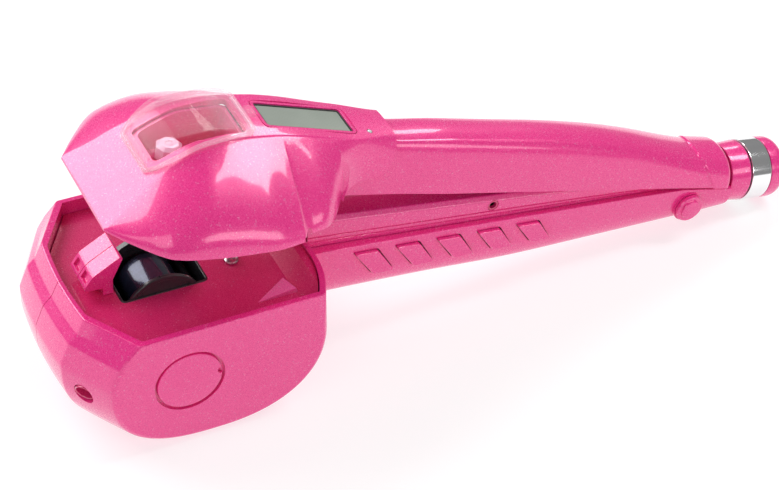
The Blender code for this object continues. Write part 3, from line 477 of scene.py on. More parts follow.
def pod_rows(wall=0.0):
    half = POD_HALF - wall
    radius = bpy.context.scene.curler_sizes.pod_edge
    rows = [half - radius * (1.0 - math.sin(math.radians(a))) for a in (90, 80, 68, 55, 40, 25, 10)]
    rows += steps_between(half - radius - 1.0, POD_FLAT_HALF - wall + 1.0, 9)
    rows += [POD_FLAT_HALF - wall + d for d in (0.5, 0.25, 0.0, -0.25, -0.5)]
    rows += steps_between(POD_FLAT_HALF - wall - 1.5, 1.6, 9)
    return [-y for y in rows] + [0.0] + rows[::-1]


def grip_section(x, wall=0.0, steps=40):
    """The grip's outline at x, open above when it is the inside."""
    half = along(x, GRIP_HALF) - wall
    top = ledge(x) + (8.0 if wall else 0.0)
    middle = ledge(x) - 3.5
    depth = middle - along(x, GRIP_BOTTOM) - wall
    exponent = 2.0 / along(x, GRIP_POWER)
    if wall:
        side = [(DECK_HALF + GAP, top), (DECK_HALF + GAP, ledge(x) - 1.4), (half, ledge(x) - 2.2)]
    else:
        side = [(half - round_over(d, 0.7), top - e) for d, e in ((0.0, 0.0), (0.2, 0.2), (0.7, 0.7))]
    ring = [(x, -y, z) for y, z in side]
    for i in range(steps + 1):
        angle = math.pi * i / steps
        y = -half * power(math.cos(angle), exponent)
        ring.append((x, y, middle - depth * power(math.sin(angle), exponent)))
    ring.extend((x, y, z) for y, z in reversed(side))
    return ring


def arched(x, half, crease, top, bottom, bend, crown, drop=0.0, steps=28):
    """Two bulging sides, two soft creases and a low crown."""
    start, middle, end = (half, bottom), (half, bottom + (top - bottom) * bend), (crease, top - crown)
    side = []
    for i in range(steps + 1):
        t = i / steps
        side.append(
            tuple((1 - t) ** 2 * start[k] + 2 * t * (1 - t) * middle[k] + t * t * end[k] for k in (0, 1))
        )
    if drop:
        side.insert(0, (half, bottom - drop))
    crown_side = [(crease * (1 - k / 6), top - crown * (1 - k / 6) ** 2) for k in range(1, 6)]
    near = side + crown_side
    corner = len(side) - 1
    ring = near + [(0.0, top)] + [(-y, z) for y, z in reversed(near)]
    ring = eased(ring, {corner: 0.8, len(ring) - 1 - corner: 0.8})
    return [(x, y, z) for y, z in ring]


def head_bottom(x):
    line = (72.8, 0.4), (79.0, part_line(79.0))
    if x <= line[0][0]:
        return line[0][1]
    if x >= line[1][0]:
        return part_line(x)
    return line[0][1] + (line[1][1] - line[0][1]) * (x - line[0][0]) / (line[1][0] - line[0][0])


def scoop(x):
    """How far the side draws in behind the cheek's crest."""
    t = (x - CREST_X) / 12.0
    return 0.0 if t <= 0.0 or t >= 1.0 else 2.2 * math.sin(math.pi * t**0.5) ** 1.3


def head_section(x, wall=0.0):
    half = along(x, HEAD_HALF) - wall - (0.0 if wall else scoop(x))
    crease = along(x, HEAD_CREASE) - 0.5 * wall
    bottom = head_bottom(x)
    top = max(along(x, HEAD_TOP) - wall, bottom + 0.8)
    bend = along(x, HEAD_BEND)
    return arched(x, half, min(crease, half - 0.3), top, bottom, bend, 0.6, 6.0 if wall else 0.0)


def sleeve_section(x, wall=0.0, lift=0.0):
    half = along(x, SLEEVE_HALF) - wall + lift
    crease = along(x, SLEEVE_CREASE) - 0.5 * wall
    top = along(x, SLEEVE_TOP) - wall + lift
    bend = along(x, ((200.0, 0.86), (254.0, 0.7)))
    return arched(x, half, crease, top, part_line(x), bend, 0.9, 8.0 if wall else 0.0)


def rim_plan(gap):
    """The space inside the rim from above, less a gap all round."""
    rows = [y for y in pod_rows(WALL) if y >= 0.0]
    front, rear = [], []
    for y in rows:
        ring = pod_section(y, WALL)
        moved = min(y, POD_HALF - WALL - gap)
        front.append((ring[0][0] + 1.25 * gap, moved))
        rear.append((ring[-1][0] - 1.25 * gap, moved))
    half = rear + front[::-1]
    return half[::-1] + [(x, -y) for x, y in half if y > 0.01]


def key_outline(index, grow=0.0):
    left = KEY_LEFT + KEY_PITCH * index
    height = mix(KEY_HEIGHT, index / (len(KEY_NAMES) - 1))
    top = part_line(left + KEY_WIDTH / 2) - KEY_DROP
    shift = KEY_SLANT * height
    drop = PART_SLOPE * KEY_WIDTH
    outline = [
        (left - grow, top + grow),
        (left + KEY_WIDTH + grow, top + drop + grow),
        (left + KEY_WIDTH - 1.2 + shift + grow, top + drop - height * 0.94 - grow),
        (left + shift - grow, top - height - grow),
    ]
    return eased(outline, {0: 0.9, 1: 0.9, 2: 0.9, 3: 0.9}, 3)


def tail_line():
    return (math.cos(TAIL_TURN), 0.0, -math.sin(TAIL_TURN))


def tail_point(distance):
    line = tail_line()
    return (TAIL_X + line[0] * distance, 0.0, TAIL_Z + line[2] * distance)


def deck_section(x, half, low, top, chamfer, grooves=()):
    near = [(half, low)]
    for height in grooves:
        z = low + (top - low) * height
        near += [(half, z - 0.34), (half - 0.4, z - 0.14), (half - 0.4, z + 0.14), (half, z + 0.34)]
    corner = [(half, low), (half, top - chamfer), (half - chamfer * 0.9, top), (0.0, top)]
    near += eased(corner, {1: 0.5, 2: 0.5})[1:-1]
    ring = near + [(-y, z) for y, z in reversed(near)]
    return [(x, y, z) for y, z in ring]


def display_slope():
    return math.atan2(along(LCD_X[1], HEAD_TOP) - along(LCD_X[0], HEAD_TOP), LCD_X[1] - LCD_X[0])


def display_block(grow, low, high, radius=0.8):
    """A round-cornered block in line with the display, from low to high above the head's surface."""
    slope = display_slope()
    start_z = along(LCD_X[0], HEAD_TOP)
    length = (LCD_X[1] - LCD_X[0]) / math.cos(slope)
    outline = rounded(-grow, length + grow, -LCD_HALF - grow, LCD_HALF + grow, radius + grow)
    rings = []
    for w in (low, high):
        ring = []
        for u, v in outline:
            x = LCD_X[0] + u * math.cos(slope) - w * math.sin(slope)
            ring.append((x, v, start_z + u * math.sin(slope) + w * math.cos(slope)))
        rings.append(ring)
    return loft(rings, jaw=True)


def lid_section(x, width, inset=0.0):
    base = along(x, HEAD_TOP) - 1.2
    top = along(x, LID_TOP) - inset
    slope = min(2.6, width * 0.2)
    low = base - 6.0 if inset else base
    shoulder = min(base + 1.6, top - 0.4)
    w = width - inset
    near = [(w, low), (w, shoulder), (w - slope, top)]
    ring = near + [(-y, z) for y, z in reversed(near)]
    ring = eased(ring, {1: 0.8, 2: 1.0, 3: 1.0, 4: 0.8}, 5)
    return [(x, y, z) for y, z in ring]


# ---------------------------------------------------------------- finishes

FINISHES = {}
SLOTS = {
    # The lighter pink on the tray's raised corner slope is a painted highlight on body pink, so it shares
    # the pink_gloss slot.
    "pink": "pink_gloss", "facet_painted_highlight": "pink_gloss", "deep_pink": "deep_pink_gloss", "pale_pink": "pale_pink",
    "black": "black_plastic", "barrel": "barrel_coating", "ceramic": "ceramic", "steel": "steel",
    "chrome": "chrome", "brass": "brass", "gear": "gear_plastic", "board": "circuit_board",
    "clear": "clear_plastic", "clear_edge": "clear_plastic", "display": "display_glass",
    "lens": "indicator",
}


class Socket:
    """A shader socket that can be used in sums."""

    def __init__(self, shader, socket):
        self.shader = shader
        self.socket = socket

    def sum(self, operation, other, swapped=False):
        first, second = (other, self) if swapped else (self, other)
        return self.shader.node("ShaderNodeMath", {"operation": operation}, {0: first, 1: second}).out(0)

    def __add__(self, other):
        return self.sum("ADD", other)

    def __radd__(self, other):
        return self.sum("ADD", other, True)

    def __sub__(self, other):
        return self.sum("SUBTRACT", other)

    def __rsub__(self, other):
        return self.sum("SUBTRACT", other, True)

    def __mul__(self, other):
        return self.sum("MULTIPLY", other)

    def __rmul__(self, other):
        return self.sum("MULTIPLY", other, True)

    def __pow__(self, other):
        return self.sum("POWER", other)

    def __gt__(self, other):
        return self.sum("GREATER_THAN", other)


class Node:
    """A shader node, with its outputs by name or number."""

    def __init__(self, shader, made):
        self.shader = shader
        self.made = made

    def out(self, key):
        return Socket(self.shader, self.made.outputs[key])


class Shader:
    """One material being built."""

    def __init__(self, name):
        self.material = bpy.data.materials.new(name)
        self.material.use_nodes = True
        self.tree = self.material.node_tree
        self.tree.nodes.clear()
        self.place = self.node("ShaderNodeTexCoord").out("Object")

    def node(self, kind, settings=None, values=None):
        made = self.tree.nodes.new(kind)
        for key, value in (settings or {}).items():
            setattr(made, key, value)
        for key, value in (values or {}).items():
            socket = made.inputs[key]
            if isinstance(value, Socket):
                self.tree.links.new(value.socket, socket)
            elif socket.type == "RGBA" and len(value) == 3:
                socket.default_value = (*value, 1.0)
            else:
                socket.default_value = value
        return Node(self, made)

    def noise(self, scale, detail=2.0, place=None):
        values = {"Vector": place or self.place, "Scale": scale, "Detail": detail}
        return self.node("ShaderNodeTexNoise", {}, values).out("Fac")

    def cells(self, size):
        """A random number for each small cell, of this size in metres."""
        values = {"Vector": self.place, "Scale": 1.0 / size}
        made = self.node("ShaderNodeTexVoronoi", {"feature": "F1"}, values)
        return self.node("ShaderNodeSeparateColor", {}, {"Color": made.out("Color")}).out("Red")

    def stretched(self, scale, turn=(0.0, 0.0, 0.0)):
        """Coordinates drawn out along some axes, for brushed or turned marks."""
        values = {"Vector": self.place, "Scale": scale, "Rotation": turn}
        return self.node("ShaderNodeMapping", {}, values).out("Vector")

    def blend(self, factor, first, second):
        settings = {"data_type": "RGBA", "clamp_factor": True}
        return self.node("ShaderNodeMix", settings, {0: factor, 6: first, 7: second}).out(2)

    def bump(self, height, strength, distance):
        values = {"Height": height, "Strength": strength, "Distance": distance}
        return self.node("ShaderNodeBump", {}, values).out("Normal")

    def surface(self, **values):
        """A Principled surface. Names use _ for a space."""
        named = {key.replace("_", " "): value for key, value in values.items()}
        return self.node("ShaderNodeBsdfPrincipled", {}, named)

    def finish(self, surface):
        end = self.node("ShaderNodeOutputMaterial", {}, {"Surface": surface.out(0)})
        end.made.is_active_output = True
        return self.material


def flaked_gloss(name, colour, light, grain, glints):
    """Moulded plastic with fine metal flake under a clear gloss."""
    sizes = bpy.context.scene.curler_sizes
    s = Shader(name)
    flake = s.cells(sizes.flake * MM)
    fleck = s.cells(sizes.flake * 0.45 * MM)
    cloud = s.noise(38.0, 3.0)
    peel = s.noise(750.0, 2.0)
    tone = (flake - 0.5) * grain + (fleck - 0.5) * (grain * 0.6) + (cloud - 0.5) * 0.10 + 0.10
    shine = flake > (1.0 - glints)
    base = s.blend(tone, colour, light)
    base = s.blend(shine * 0.30, base, (1.0, 0.55, 0.76))
    return s.finish(s.surface(
        Base_Color=base, Roughness=0.27 + (fleck - 0.5) * 0.12 + (cloud - 0.5) * 0.06,
        Metallic=0.08 + shine * 0.14, Coat_Weight=0.75, Coat_Roughness=0.05,
        Normal=s.bump(flake * 0.6 + peel * 0.5, 0.16, 0.00006),
    ))


def grained_plastic(name, colour, light, roughness, scale, coat=0.0):
    """Plain moulded plastic with a fine spark-eroded grain and faint flow marks."""
    s = Shader(name)
    grain = s.noise(scale, 4.0)
    flow = s.noise(55.0, 3.0, s.stretched((1.0, 2.6, 1.0)))
    base = s.blend((grain - 0.5) * 0.5 + (flow - 0.5) * 0.5 + 0.3, colour, light)
    return s.finish(s.surface(
        Base_Color=base, Roughness=roughness + (grain - 0.5) * 0.2 + (flow - 0.5) * 0.14,
        Coat_Weight=coat, Coat_Roughness=0.08, Normal=s.bump(grain, 0.25, 0.00004),
    ))


def worked_metal(name, colour, dark, roughness, scale, turn=(0.0, 0.0, 0.0), marks=0.3):
    """Metal with fine lines drawn out round or along it."""
    s = Shader(name)
    lines = s.noise(90.0, 4.0, s.stretched(scale, turn))
    spots = s.noise(160.0, 3.0)
    base = s.blend((lines - 0.45) * marks * 2.0 + (spots - 0.5) * 0.25, colour, dark)
    return s.finish(s.surface(
        Base_Color=base, Roughness=roughness + (lines - 0.5) * marks * 0.5 + (spots - 0.5) * 0.05,
        Metallic=1.0, Normal=s.bump(lines, marks * 0.25, 0.00003),
    ))


def circuit_board():
    s = Shader("circuit_board")
    tracks = s.node("ShaderNodeTexBrick", {"offset": 0.35}, {
        "Vector": s.stretched((1.0, 1.0, 1.0), (math.pi / 2, 0.0, 0.0)), "Scale": 160.0,
        "Mortar Size": 0.03, "Color1": (0.03, 0.17, 0.08), "Color2": (0.02, 0.12, 0.05),
        "Mortar": (0.30, 0.30, 0.10),
    })
    weave = s.noise(1400.0, 2.0)
    base = s.blend((weave - 0.5) * 0.4, tracks.out("Color"), (0.10, 0.35, 0.18))
    return s.finish(s.surface(
        Base_Color=base, Roughness=0.42 + (weave - 0.5) * 0.2, Coat_Weight=0.4,
        Normal=s.bump(tracks.out("Fac"), 0.3, 0.00005),
    ))


def barrel_coating():
    """Dark ceramic coat with fine rings round the barrel and a few pale specks."""
    s = Shader("barrel_coating")
    rings = s.noise(70.0, 3.0, s.stretched((1.0, 26.0, 1.0)))
    specks = s.cells(0.0005)
    base = s.blend((rings - 0.4) * 0.8 + (specks - 0.5) * 0.3, (0.018, 0.02, 0.045), (0.07, 0.08, 0.15))
    return s.finish(s.surface(
        Base_Color=base, Roughness=0.20 + (rings - 0.5) * 0.16, Metallic=0.55, Coat_Weight=0.5,
        Normal=s.bump(rings, 0.1, 0.00004),
    ))


def clear_plastic(name, film):
    """Clear moulding: see-through face on, and glossy at its rims and edges."""
    s = Shader(name)
    facing = s.node("ShaderNodeLayerWeight", {}, {"Blend": 0.42}).out("Facing")
    flow = s.noise(60.0, 3.0, s.stretched((1.0, 2.0, 1.0)))
    grain = s.noise(600.0, 2.0)
    gloss = s.surface(
        Base_Color=s.blend(flow, (0.98, 0.72, 0.84), (1.0, 0.88, 0.94)),
        Roughness=0.07 + (grain - 0.5) * 0.05, Coat_Weight=1.0, Coat_Roughness=0.03,
        Normal=s.bump(flow, 0.12, 0.0002),
    )
    through = s.node("ShaderNodeBsdfTransparent", {}, {"Color": (1.0, 0.965, 0.98)})
    amount = facing**2.2 * 0.70 + film + (flow - 0.5) * 0.03
    return s.finish(s.node("ShaderNodeMixShader", {}, {0: amount, 1: through.out(0), 2: gloss.out(0)}))


def display_glass():
    """Grey-green display with a faint cell grid, under a gloss window."""
    s = Shader("display_glass")
    grid = s.node("ShaderNodeTexChecker", {}, {"Vector": s.place, "Scale": 1300.0}).out("Fac")
    cloud = s.noise(34.0, 3.0)
    base = s.blend(cloud * 1.1 - 0.1, (0.24, 0.275, 0.235), (0.40, 0.44, 0.385))
    base = s.blend(grid * 0.05, base, (0.16, 0.19, 0.15))
    return s.finish(s.surface(
        Base_Color=base, Roughness=0.20 + (cloud - 0.5) * 0.08, Coat_Weight=0.8, Coat_Roughness=0.04,
        Normal=s.bump(cloud, 0.04, 0.0002),
    ))


def mix_finishes(colours):
    pink, deep, pale = colours.pink, colours.deep_pink, colours.pale_pink
    FINISHES.update({
        "pink": flaked_gloss("pink_gloss", pink, (0.98, 0.16, 0.44), 0.26, 0.03),
        "deep_pink": flaked_gloss("deep_pink_gloss", deep, (0.86, 0.08, 0.28), 0.16, 0.012),
        # A lighter copy of the body pink for the tray's raised corner slope: a painted highlight.
        "facet_painted_highlight": flaked_gloss("facet_painted_highlight_gloss", (0.92, 0.10, 0.40), (1.0, 0.36, 0.62), 0.26, 0.03),
        "pale_pink": grained_plastic("pale_pink", pale, (0.99, 0.78, 0.88), 0.22, 500.0, 0.8),
        "black": grained_plastic("black_plastic", colours.black, (0.035, 0.035, 0.042), 0.30, 900.0, 0.3),
        "barrel": barrel_coating(),
        "ceramic": grained_plastic("ceramic", (0.70, 0.67, 0.60), (0.86, 0.84, 0.78), 0.62, 700.0),
        "steel": worked_metal("steel", (0.66, 0.66, 0.67), (0.34, 0.34, 0.36), 0.28, (1.0, 14.0, 1.0)),
        "chrome": worked_metal(
            "chrome", (0.90, 0.90, 0.91), (0.55, 0.55, 0.58), 0.10, (22.0, 1.0, 1.0),
            (0.0, TAIL_TURN, 0.0), 0.05,
        ),
        "brass": worked_metal("brass", (0.80, 0.58, 0.25), (0.45, 0.30, 0.10), 0.30, (1.0, 12.0, 1.0)),
        "gear": grained_plastic("gear_plastic", (0.80, 0.78, 0.70), (0.90, 0.89, 0.83), 0.45, 800.0),
        "board": circuit_board(),
        "clear": clear_plastic("clear_plastic", 0.03),
        "clear_edge": clear_plastic("clear_edge", 0.16),
        "display": display_glass(),
        "lens": grained_plastic("indicator", (0.50, 0.50, 0.53), (0.78, 0.78, 0.80), 0.15, 300.0, 1.0),
        "gasket": grained_plastic(
            "gasket_rubber", (0.012, 0.010, 0.012), (0.05, 0.04, 0.045), 0.55, 1100.0,
        ),
    })


# ---------------------------------------------------------------- settings


class CurlerSizes(bpy.types.PropertyGroup):
    pod_edge: FloatProperty(
        name="Pod edge", description="Radius along the edges of the pod's side faces, in mm",
        default=1.4, min=0.6, max=3.0,
    )
    flake: FloatProperty(
        name="Flake", description="Size of the metal flake in the gloss plastic, in mm",
        default=0.34, min=0.2, max=1.5,
    )
    key_edge: FloatProperty(
        name="Key edge", description="Rounding along the edges of the keys, in mm",
        default=0.45, min=0.1, max=0.6,
    )
    grooves: IntProperty(
        name="Grooves", description="Fine grooves along each side of the inner handle cover",
        default=2, min=0, max=4,
    )
    lid_rim: FloatProperty(
        name="Lid rim", description="Width of the thick rim round the clear lid, in mm",
        default=1.4, min=0.8, max=2.4,
    )


class CurlerColours(bpy.types.PropertyGroup):
    pink: FloatVectorProperty(
        name="Pink", description="Body plastic", subtype="COLOR", size=3, min=0.0, max=1.0,
        default=(0.84, 0.016, 0.235),
    )
    deep_pink: FloatVectorProperty(
        name="Deep pink", description="Tray, tank tub and bezel", subtype="COLOR", size=3, min=0.0,
        max=1.0, default=(0.66, 0.018, 0.145),
    )
    pale_pink: FloatVectorProperty(
        name="Pale pink", description="Tank stopper", subtype="COLOR", size=3, min=0.0, max=1.0,
        default=(0.93, 0.50, 0.68),
    )
    black: FloatVectorProperty(
        name="Black", description="Heat-resistant plastic in the chamber", subtype="COLOR", size=3,
        min=0.0, max=1.0, default=(0.010, 0.010, 0.013),
    )
    floor: FloatVectorProperty(
        name="Floor", description="Studio floor", subtype="COLOR", size=3, min=0.0, max=1.0,
        default=(0.40, 0.40, 0.40),
    )
    key_light: FloatProperty(
        name="Key light", description="Power of the large soft light", default=10.5, min=0.0,
        unit="POWER",
    )


# ---------------------------------------------------------------- lower arm


class CURLER_OT_finishes(bpy.types.Operator):
    """Mix every finish that the pieces use"""

    bl_idname = "curler.finishes"
    bl_label = "Finishes"

    def execute(self, context):
        mix_finishes(context.scene.curler_colours)
        return {"FINISHED"}


class CURLER_OT_lower_shells(bpy.types.Operator):
    """Two halves of the pod and grip, with the seam between them"""

    bl_idname = "curler.lower_shells"
    bl_label = "Lower shells"

    def execute(self, context):
        whole = loft([pod_section(y) for y in pod_rows()])
        xs = steps_between(GRIP_START, GRIP_END, 64)
        combine(whole, "UNION", loft([grip_section(x) for x in xs]))
        start = GRIP_START - 6.0
        inner = steps_between(start, GRIP_END - 3.2, 48)
        cuts = [
            loft([pod_section(y, WALL) for y in pod_rows(WALL)]),
            loft([grip_section(x, WALL) for x in inner]),
            turned(plug_profile((6.1, -16.0), (6.1, 0.0)), tail_point(-4.0), tail_line()),
            turned(plug_profile((40.0, TAIL_START), (40.0, 30.0)), tail_point(0.0), tail_line()),
        ]
        for sign in (-1.0, 1.0):
            low, high = sorted((sign * (POD_HALF - 1.3), sign * (POD_HALF + 5.0)))
            cuts.append(rod(*DISC_SPOT, 12.9, low, high, count=128))
        for spot, line in zip(WELL_SPOTS, WELL_DIRECTION):
            cuts.append(turned(plug_profile((4.0, -20.0), (4.0, 12.0)), spot, line))
        for i in range(len(KEY_NAMES)):
            cuts.append(prism(key_outline(i, 0.35), -30.0, -6.0))
        for x, z in SHELL_SCREWS:
            face = POD_HALF if x < GRIP_START else along(x, GRIP_HALF)
            cuts.append(rod(x, z, 2.9, face - 1.4, 60.0))
        combine(whole, "DIFFERENCE", *cuts)
        for sign in (-1.0, 1.0):
            low, high = sorted((sign * 9.4, sign * 12.7))
            combine(whole, "UNION", rod(*HINGE, 6.4, low, high, count=64))
        other = bpy.data.objects.new("raw", whole.data.copy())
        bpy.context.scene.collection.objects.link(other)
        for half, low, high, side in ((whole, -60.0, -0.13, "near"), (other, 0.13, 60.0, "far")):
            combine(half, "INTERSECT", block((-60.0, low, -80.0), (300.0, high, 40.0)))
            complete(half, f"pod_shell_{side}", "lower_arm", "pink", [f"lower_shell_{side}"], angle=26.0)
        return {"FINISHED"}


class CURLER_OT_tray(bpy.types.Operator):
    """Floor inside the rim, with the chamber opening, the ramp to the neck and a raised corner slope whose
    lighter pink is a painted highlight
    """

    bl_idname = "curler.tray"
    bl_label = "Tray"

    def execute(self, context):
        top, low = FLOOR_Z, FLOOR_Z - FLOOR_THICK
        section = [
            (-30.0, low), (61.0, low), (67.5, -2.8), (90.0, -2.8), (90.0, -1.0), (67.0, -1.0), (60.0, top),
            (-30.0, top),
        ]
        piece = prism(section, -60.0, 60.0)
        combine(piece, "INTERSECT", prism(rim_plan(GAP), -20.0, 20.0, plane="xy"))
        opening = rounded(*CHAMBER_X, -CHAMBER_HALF, CHAMBER_HALF, 2.2)
        combine(piece, "DIFFERENCE", prism(opening, -20.0, 9.0, plane="xy"))
        complete(piece, "tray_floor", "lower_arm", "deep_pink", ["chamber_tray"], bevel=0.3)
        # The raised corner slope is body pink plastic, coloured a lighter pink as a painted highlight where
        # it catches the light.
        facet_painted_highlight = [
            (45.6, -30.2, top - 0.6), (59.6, -21.8, top - 0.6), (61.4, -30.6, top - 0.6),
            (45.6, -30.2, top + 0.05), (58.6, -22.6, top + 1.0), (60.2, -30.4, top + 2.2),
        ]
        wedge = raw(facet_painted_highlight, [(0, 1, 2), (3, 5, 4), (0, 3, 4, 1), (1, 4, 5, 2), (2, 5, 3, 0)])
        complete(wedge, "tray_facet", "lower_arm", "facet_painted_highlight", bevel=0.25)
        lip = sweep(
            [(x, y, top) for x, y in opening],
            [(0.0, -2.0), (0.0, 0.05), (-0.25, 0.25), (-0.7, 0.25), (-0.9, 0.05), (-0.9, -2.0)],
        )
        complete(lip, "opening_lip", "lower_arm", "black", bevel=0.08)
        return {"FINISHED"}


class CURLER_OT_hair_guide(bpy.types.Operator):
    """Nose at the front of the chamber, with its seam and its two windows"""

    bl_idname = "curler.hair_guide"
    bl_label = "Hair guide"

    def execute(self, context):
        base = FLOOR_Z + GAP
        section = [
            (-1.4, base), (2.2, base), (2.2, 1.0), (6.0, 9.4), (5.2, 10.2), (-4.9, 4.4), (-8.2, -0.4),
            (-7.6, -1.5), (-1.4, -2.0),
        ]
        piece = prism(eased(section, {3: 0.7, 4: 0.7, 5: 1.6, 6: 0.9, 7: 0.6}), -7.0, 7.0)
        cuts = []
        for side in (-1.0, 1.0):
            low, high = sorted((side * 1.3, side * 5.7))
            cuts.append(prism([(-8.9, 1.4), (-6.3, 0.4), (-4.6, 2.9), (-7.4, 4.4)], low, high))
        seam = [(-9.0, -1.7), (-7.7, -0.9), (-4.6, 4.0), (5.0, 9.7), (5.2, 12.0), (-9.0, 6.0)]
        cuts.append(prism(seam, -0.14, 0.14))
        combine(piece, "DIFFERENCE", *cuts)
        complete(piece, "guide_nose", "lower_arm", "pink", ["hair_guide"], bevel=0.22)
        return {"FINISHED"}


class CURLER_OT_chamber(bpy.types.Operator):
    """End disc and barrel inside the black cup"""

    bl_idname = "curler.chamber"
    bl_label = "Chamber"

    def execute(self, context):
        front = -CHAMBER_HALF + 0.4
        r = DISC_R
        disc = turned(
            plug_profile(
                (r - 0.3, 1.5), (r, 1.2), (r, 0.3), (r - 0.3, 0.0), (r - 1.6, 0.0), (r - 1.9, 0.25),
                (3.0, 0.25),
            ),
            (BARREL[0], front, BARREL[1]), (0.0, 1.0, 0.0), count=128,
        )
        complete(disc, "barrel_flange", "lower_arm", "black", ["barrel_end_disc"])
        start = front + 1.8
        tube = [(6.0, 2.0), (9.1, 0.0), (9.6, 0.5), (9.6, 17.2), (9.2, 17.6), (6.4, 17.6), (6.0, 17.2)]
        barrel = turned(tube, (BARREL[0], start, BARREL[1]), (0.0, 1.0, 0.0), count=128)
        complete(barrel, "barrel_tube", "lower_arm", "barrel", ["heated_barrel"])
        return {"FINISHED"}


class CURLER_OT_inner_cover(bpy.types.Operator):
    """Raised cover of the lower handle, with fine grooves and the lock hole"""

    bl_idname = "curler.inner_cover"
    bl_label = "Inner handle cover"

    def execute(self, context):
        count = context.scene.curler_sizes.grooves
        grooves = [0.24 + 0.15 * i for i in range(count)]
        rings, inner = [], []
        for x in steps_between(DECK_START, DECK_END, 62):
            low, top = ledge(x) - 0.9, ledge(x) + along(x, DECK_RISE)
            rings.append(deck_section(x, DECK_HALF, low, top, 1.9, grooves))
        for x in [DECK_START - 1.0, *steps_between(DECK_START + 4.0, DECK_END - 4.0, 30), DECK_END - 1.6]:
            low, top = ledge(x) - 9.0, ledge(x) + along(x, DECK_RISE) - 1.6
            inner.append(deck_section(x, DECK_HALF - 1.6, low, top, 1.3))
        piece = loft(rings)
        cuts = [loft(inner), rod(*LOCK_HOLE, 2.3, -20.0, 0.0)]
        pin_hole = plug_profile((0.7, -2.0), (0.7, 9.0))
        cuts.append(turned(pin_hole, (119.5, 3.0, -3.4), (0.1, 0.0, 1.0), count=24))
        combine(piece, "DIFFERENCE", *cuts)
        complete(piece, "inner_cover", "lower_arm", "pink", ["handle_inner_cover"], angle=24.0)
        bush = turned(
            [(1.5, 0.0), (2.05, 0.0), (2.25, 0.3), (2.25, 1.5), (1.5, 1.5)],
            (LOCK_HOLE[0], -DECK_HALF + 0.15, LOCK_HOLE[1]), (0.0, 1.0, 0.0), count=48,
        )
        complete(bush, "lock_bush", "lower_arm", "deep_pink")
        return {"FINISHED"}


class CURLER_OT_keys(bpy.types.Operator):
    """Slanted push keys, each on its own slide"""

    bl_idname = "curler.keys"
    bl_label = "Keys"

    def execute(self, context):
        edge = context.scene.curler_sizes.key_edge
        for index, name in enumerate(KEY_NAMES):
            middle = KEY_LEFT + KEY_PITCH * index + KEY_WIDTH / 2
            face = -along(middle, GRIP_HALF)
            outline = key_outline(index)
            centre = [sum(p[k] for p in outline) / len(outline) for k in (0, 1)]
            rings = []
            for y, size in (
                (face + 3.4, 1.0), (face - KEY_STAND + edge, 1.0), (face - KEY_STAND + 0.3 * edge, 0.975),
                (face - KEY_STAND, 0.93), (face - KEY_STAND + 0.12, 0.70),
            ):
                rings.append([
                    (centre[0] + (x - centre[0]) * size, y, centre[1] + (z - centre[1]) * size)
                    for x, z in outline
                ])
            key = loft(rings[::-1])
            complete(key, f"{name}_cap", f"{name}_body", "pink", [name], angle=40.0)
        return {"FINISHED"}


class CURLER_OT_side_fittings(bpy.types.Operator):
    """Side discs in their seats, screw wells and hinge caps"""

    bl_idname = "curler.side_fittings"
    bl_label = "Side fittings"

    def execute(self, context):
        for index, (sign, side) in enumerate(((-1.0, "near"), (1.0, "far"))):
            face = sign * POD_HALF
            disc = turned(
                plug_profile((11.9, 0.0), (11.9, 0.5), (11.7, 0.85), (11.2, 1.05), (7.0, 1.2), (2.0, 1.25)),
                (DISC_SPOT[0], face - sign * 1.0, DISC_SPOT[1]), (0.0, sign, 0.0), count=128,
            )
            reach = sorted((face - sign * 3.0, face + sign * 3.0))
            notch = rod(DISC_SPOT[0] + 11.6, DISC_SPOT[1] + 1.2, 1.5, *reach)
            combine(disc, "DIFFERENCE", notch)
            complete(disc, f"side_cap_{side}", "lower_arm", "pink", [f"side_disc_{side}"])
            well = turned(
                plug_profile(
                    (3.75, -9.0), (3.75, -1.9), (3.5, -1.7), (3.2, -1.8), (3.0, -2.1), (2.8, -7.4),
                ),
                WELL_SPOTS[index], WELL_DIRECTION[index], count=64,
            )
            complete(well, f"well_sleeve_{side}", "lower_arm", "deep_pink", [f"screw_well_{side}"])
            cap = turned(
                plug_profile(
                    (5.8, 13.0), (5.8, 14.0), (5.55, 14.35), (5.1, 14.45), (4.3, 14.45), (4.1, 14.6),
                    (4.1, 15.0), (3.9, 15.3), (3.4, 15.4),
                ),
                (HINGE[0], 0.0, HINGE[1]), (0.0, sign, 0.0), count=96,
            )
            complete(cap, f"hinge_cover_{side}", "lower_arm", "pink", [f"hinge_cap_{side}"])
        return {"FINISHED"}


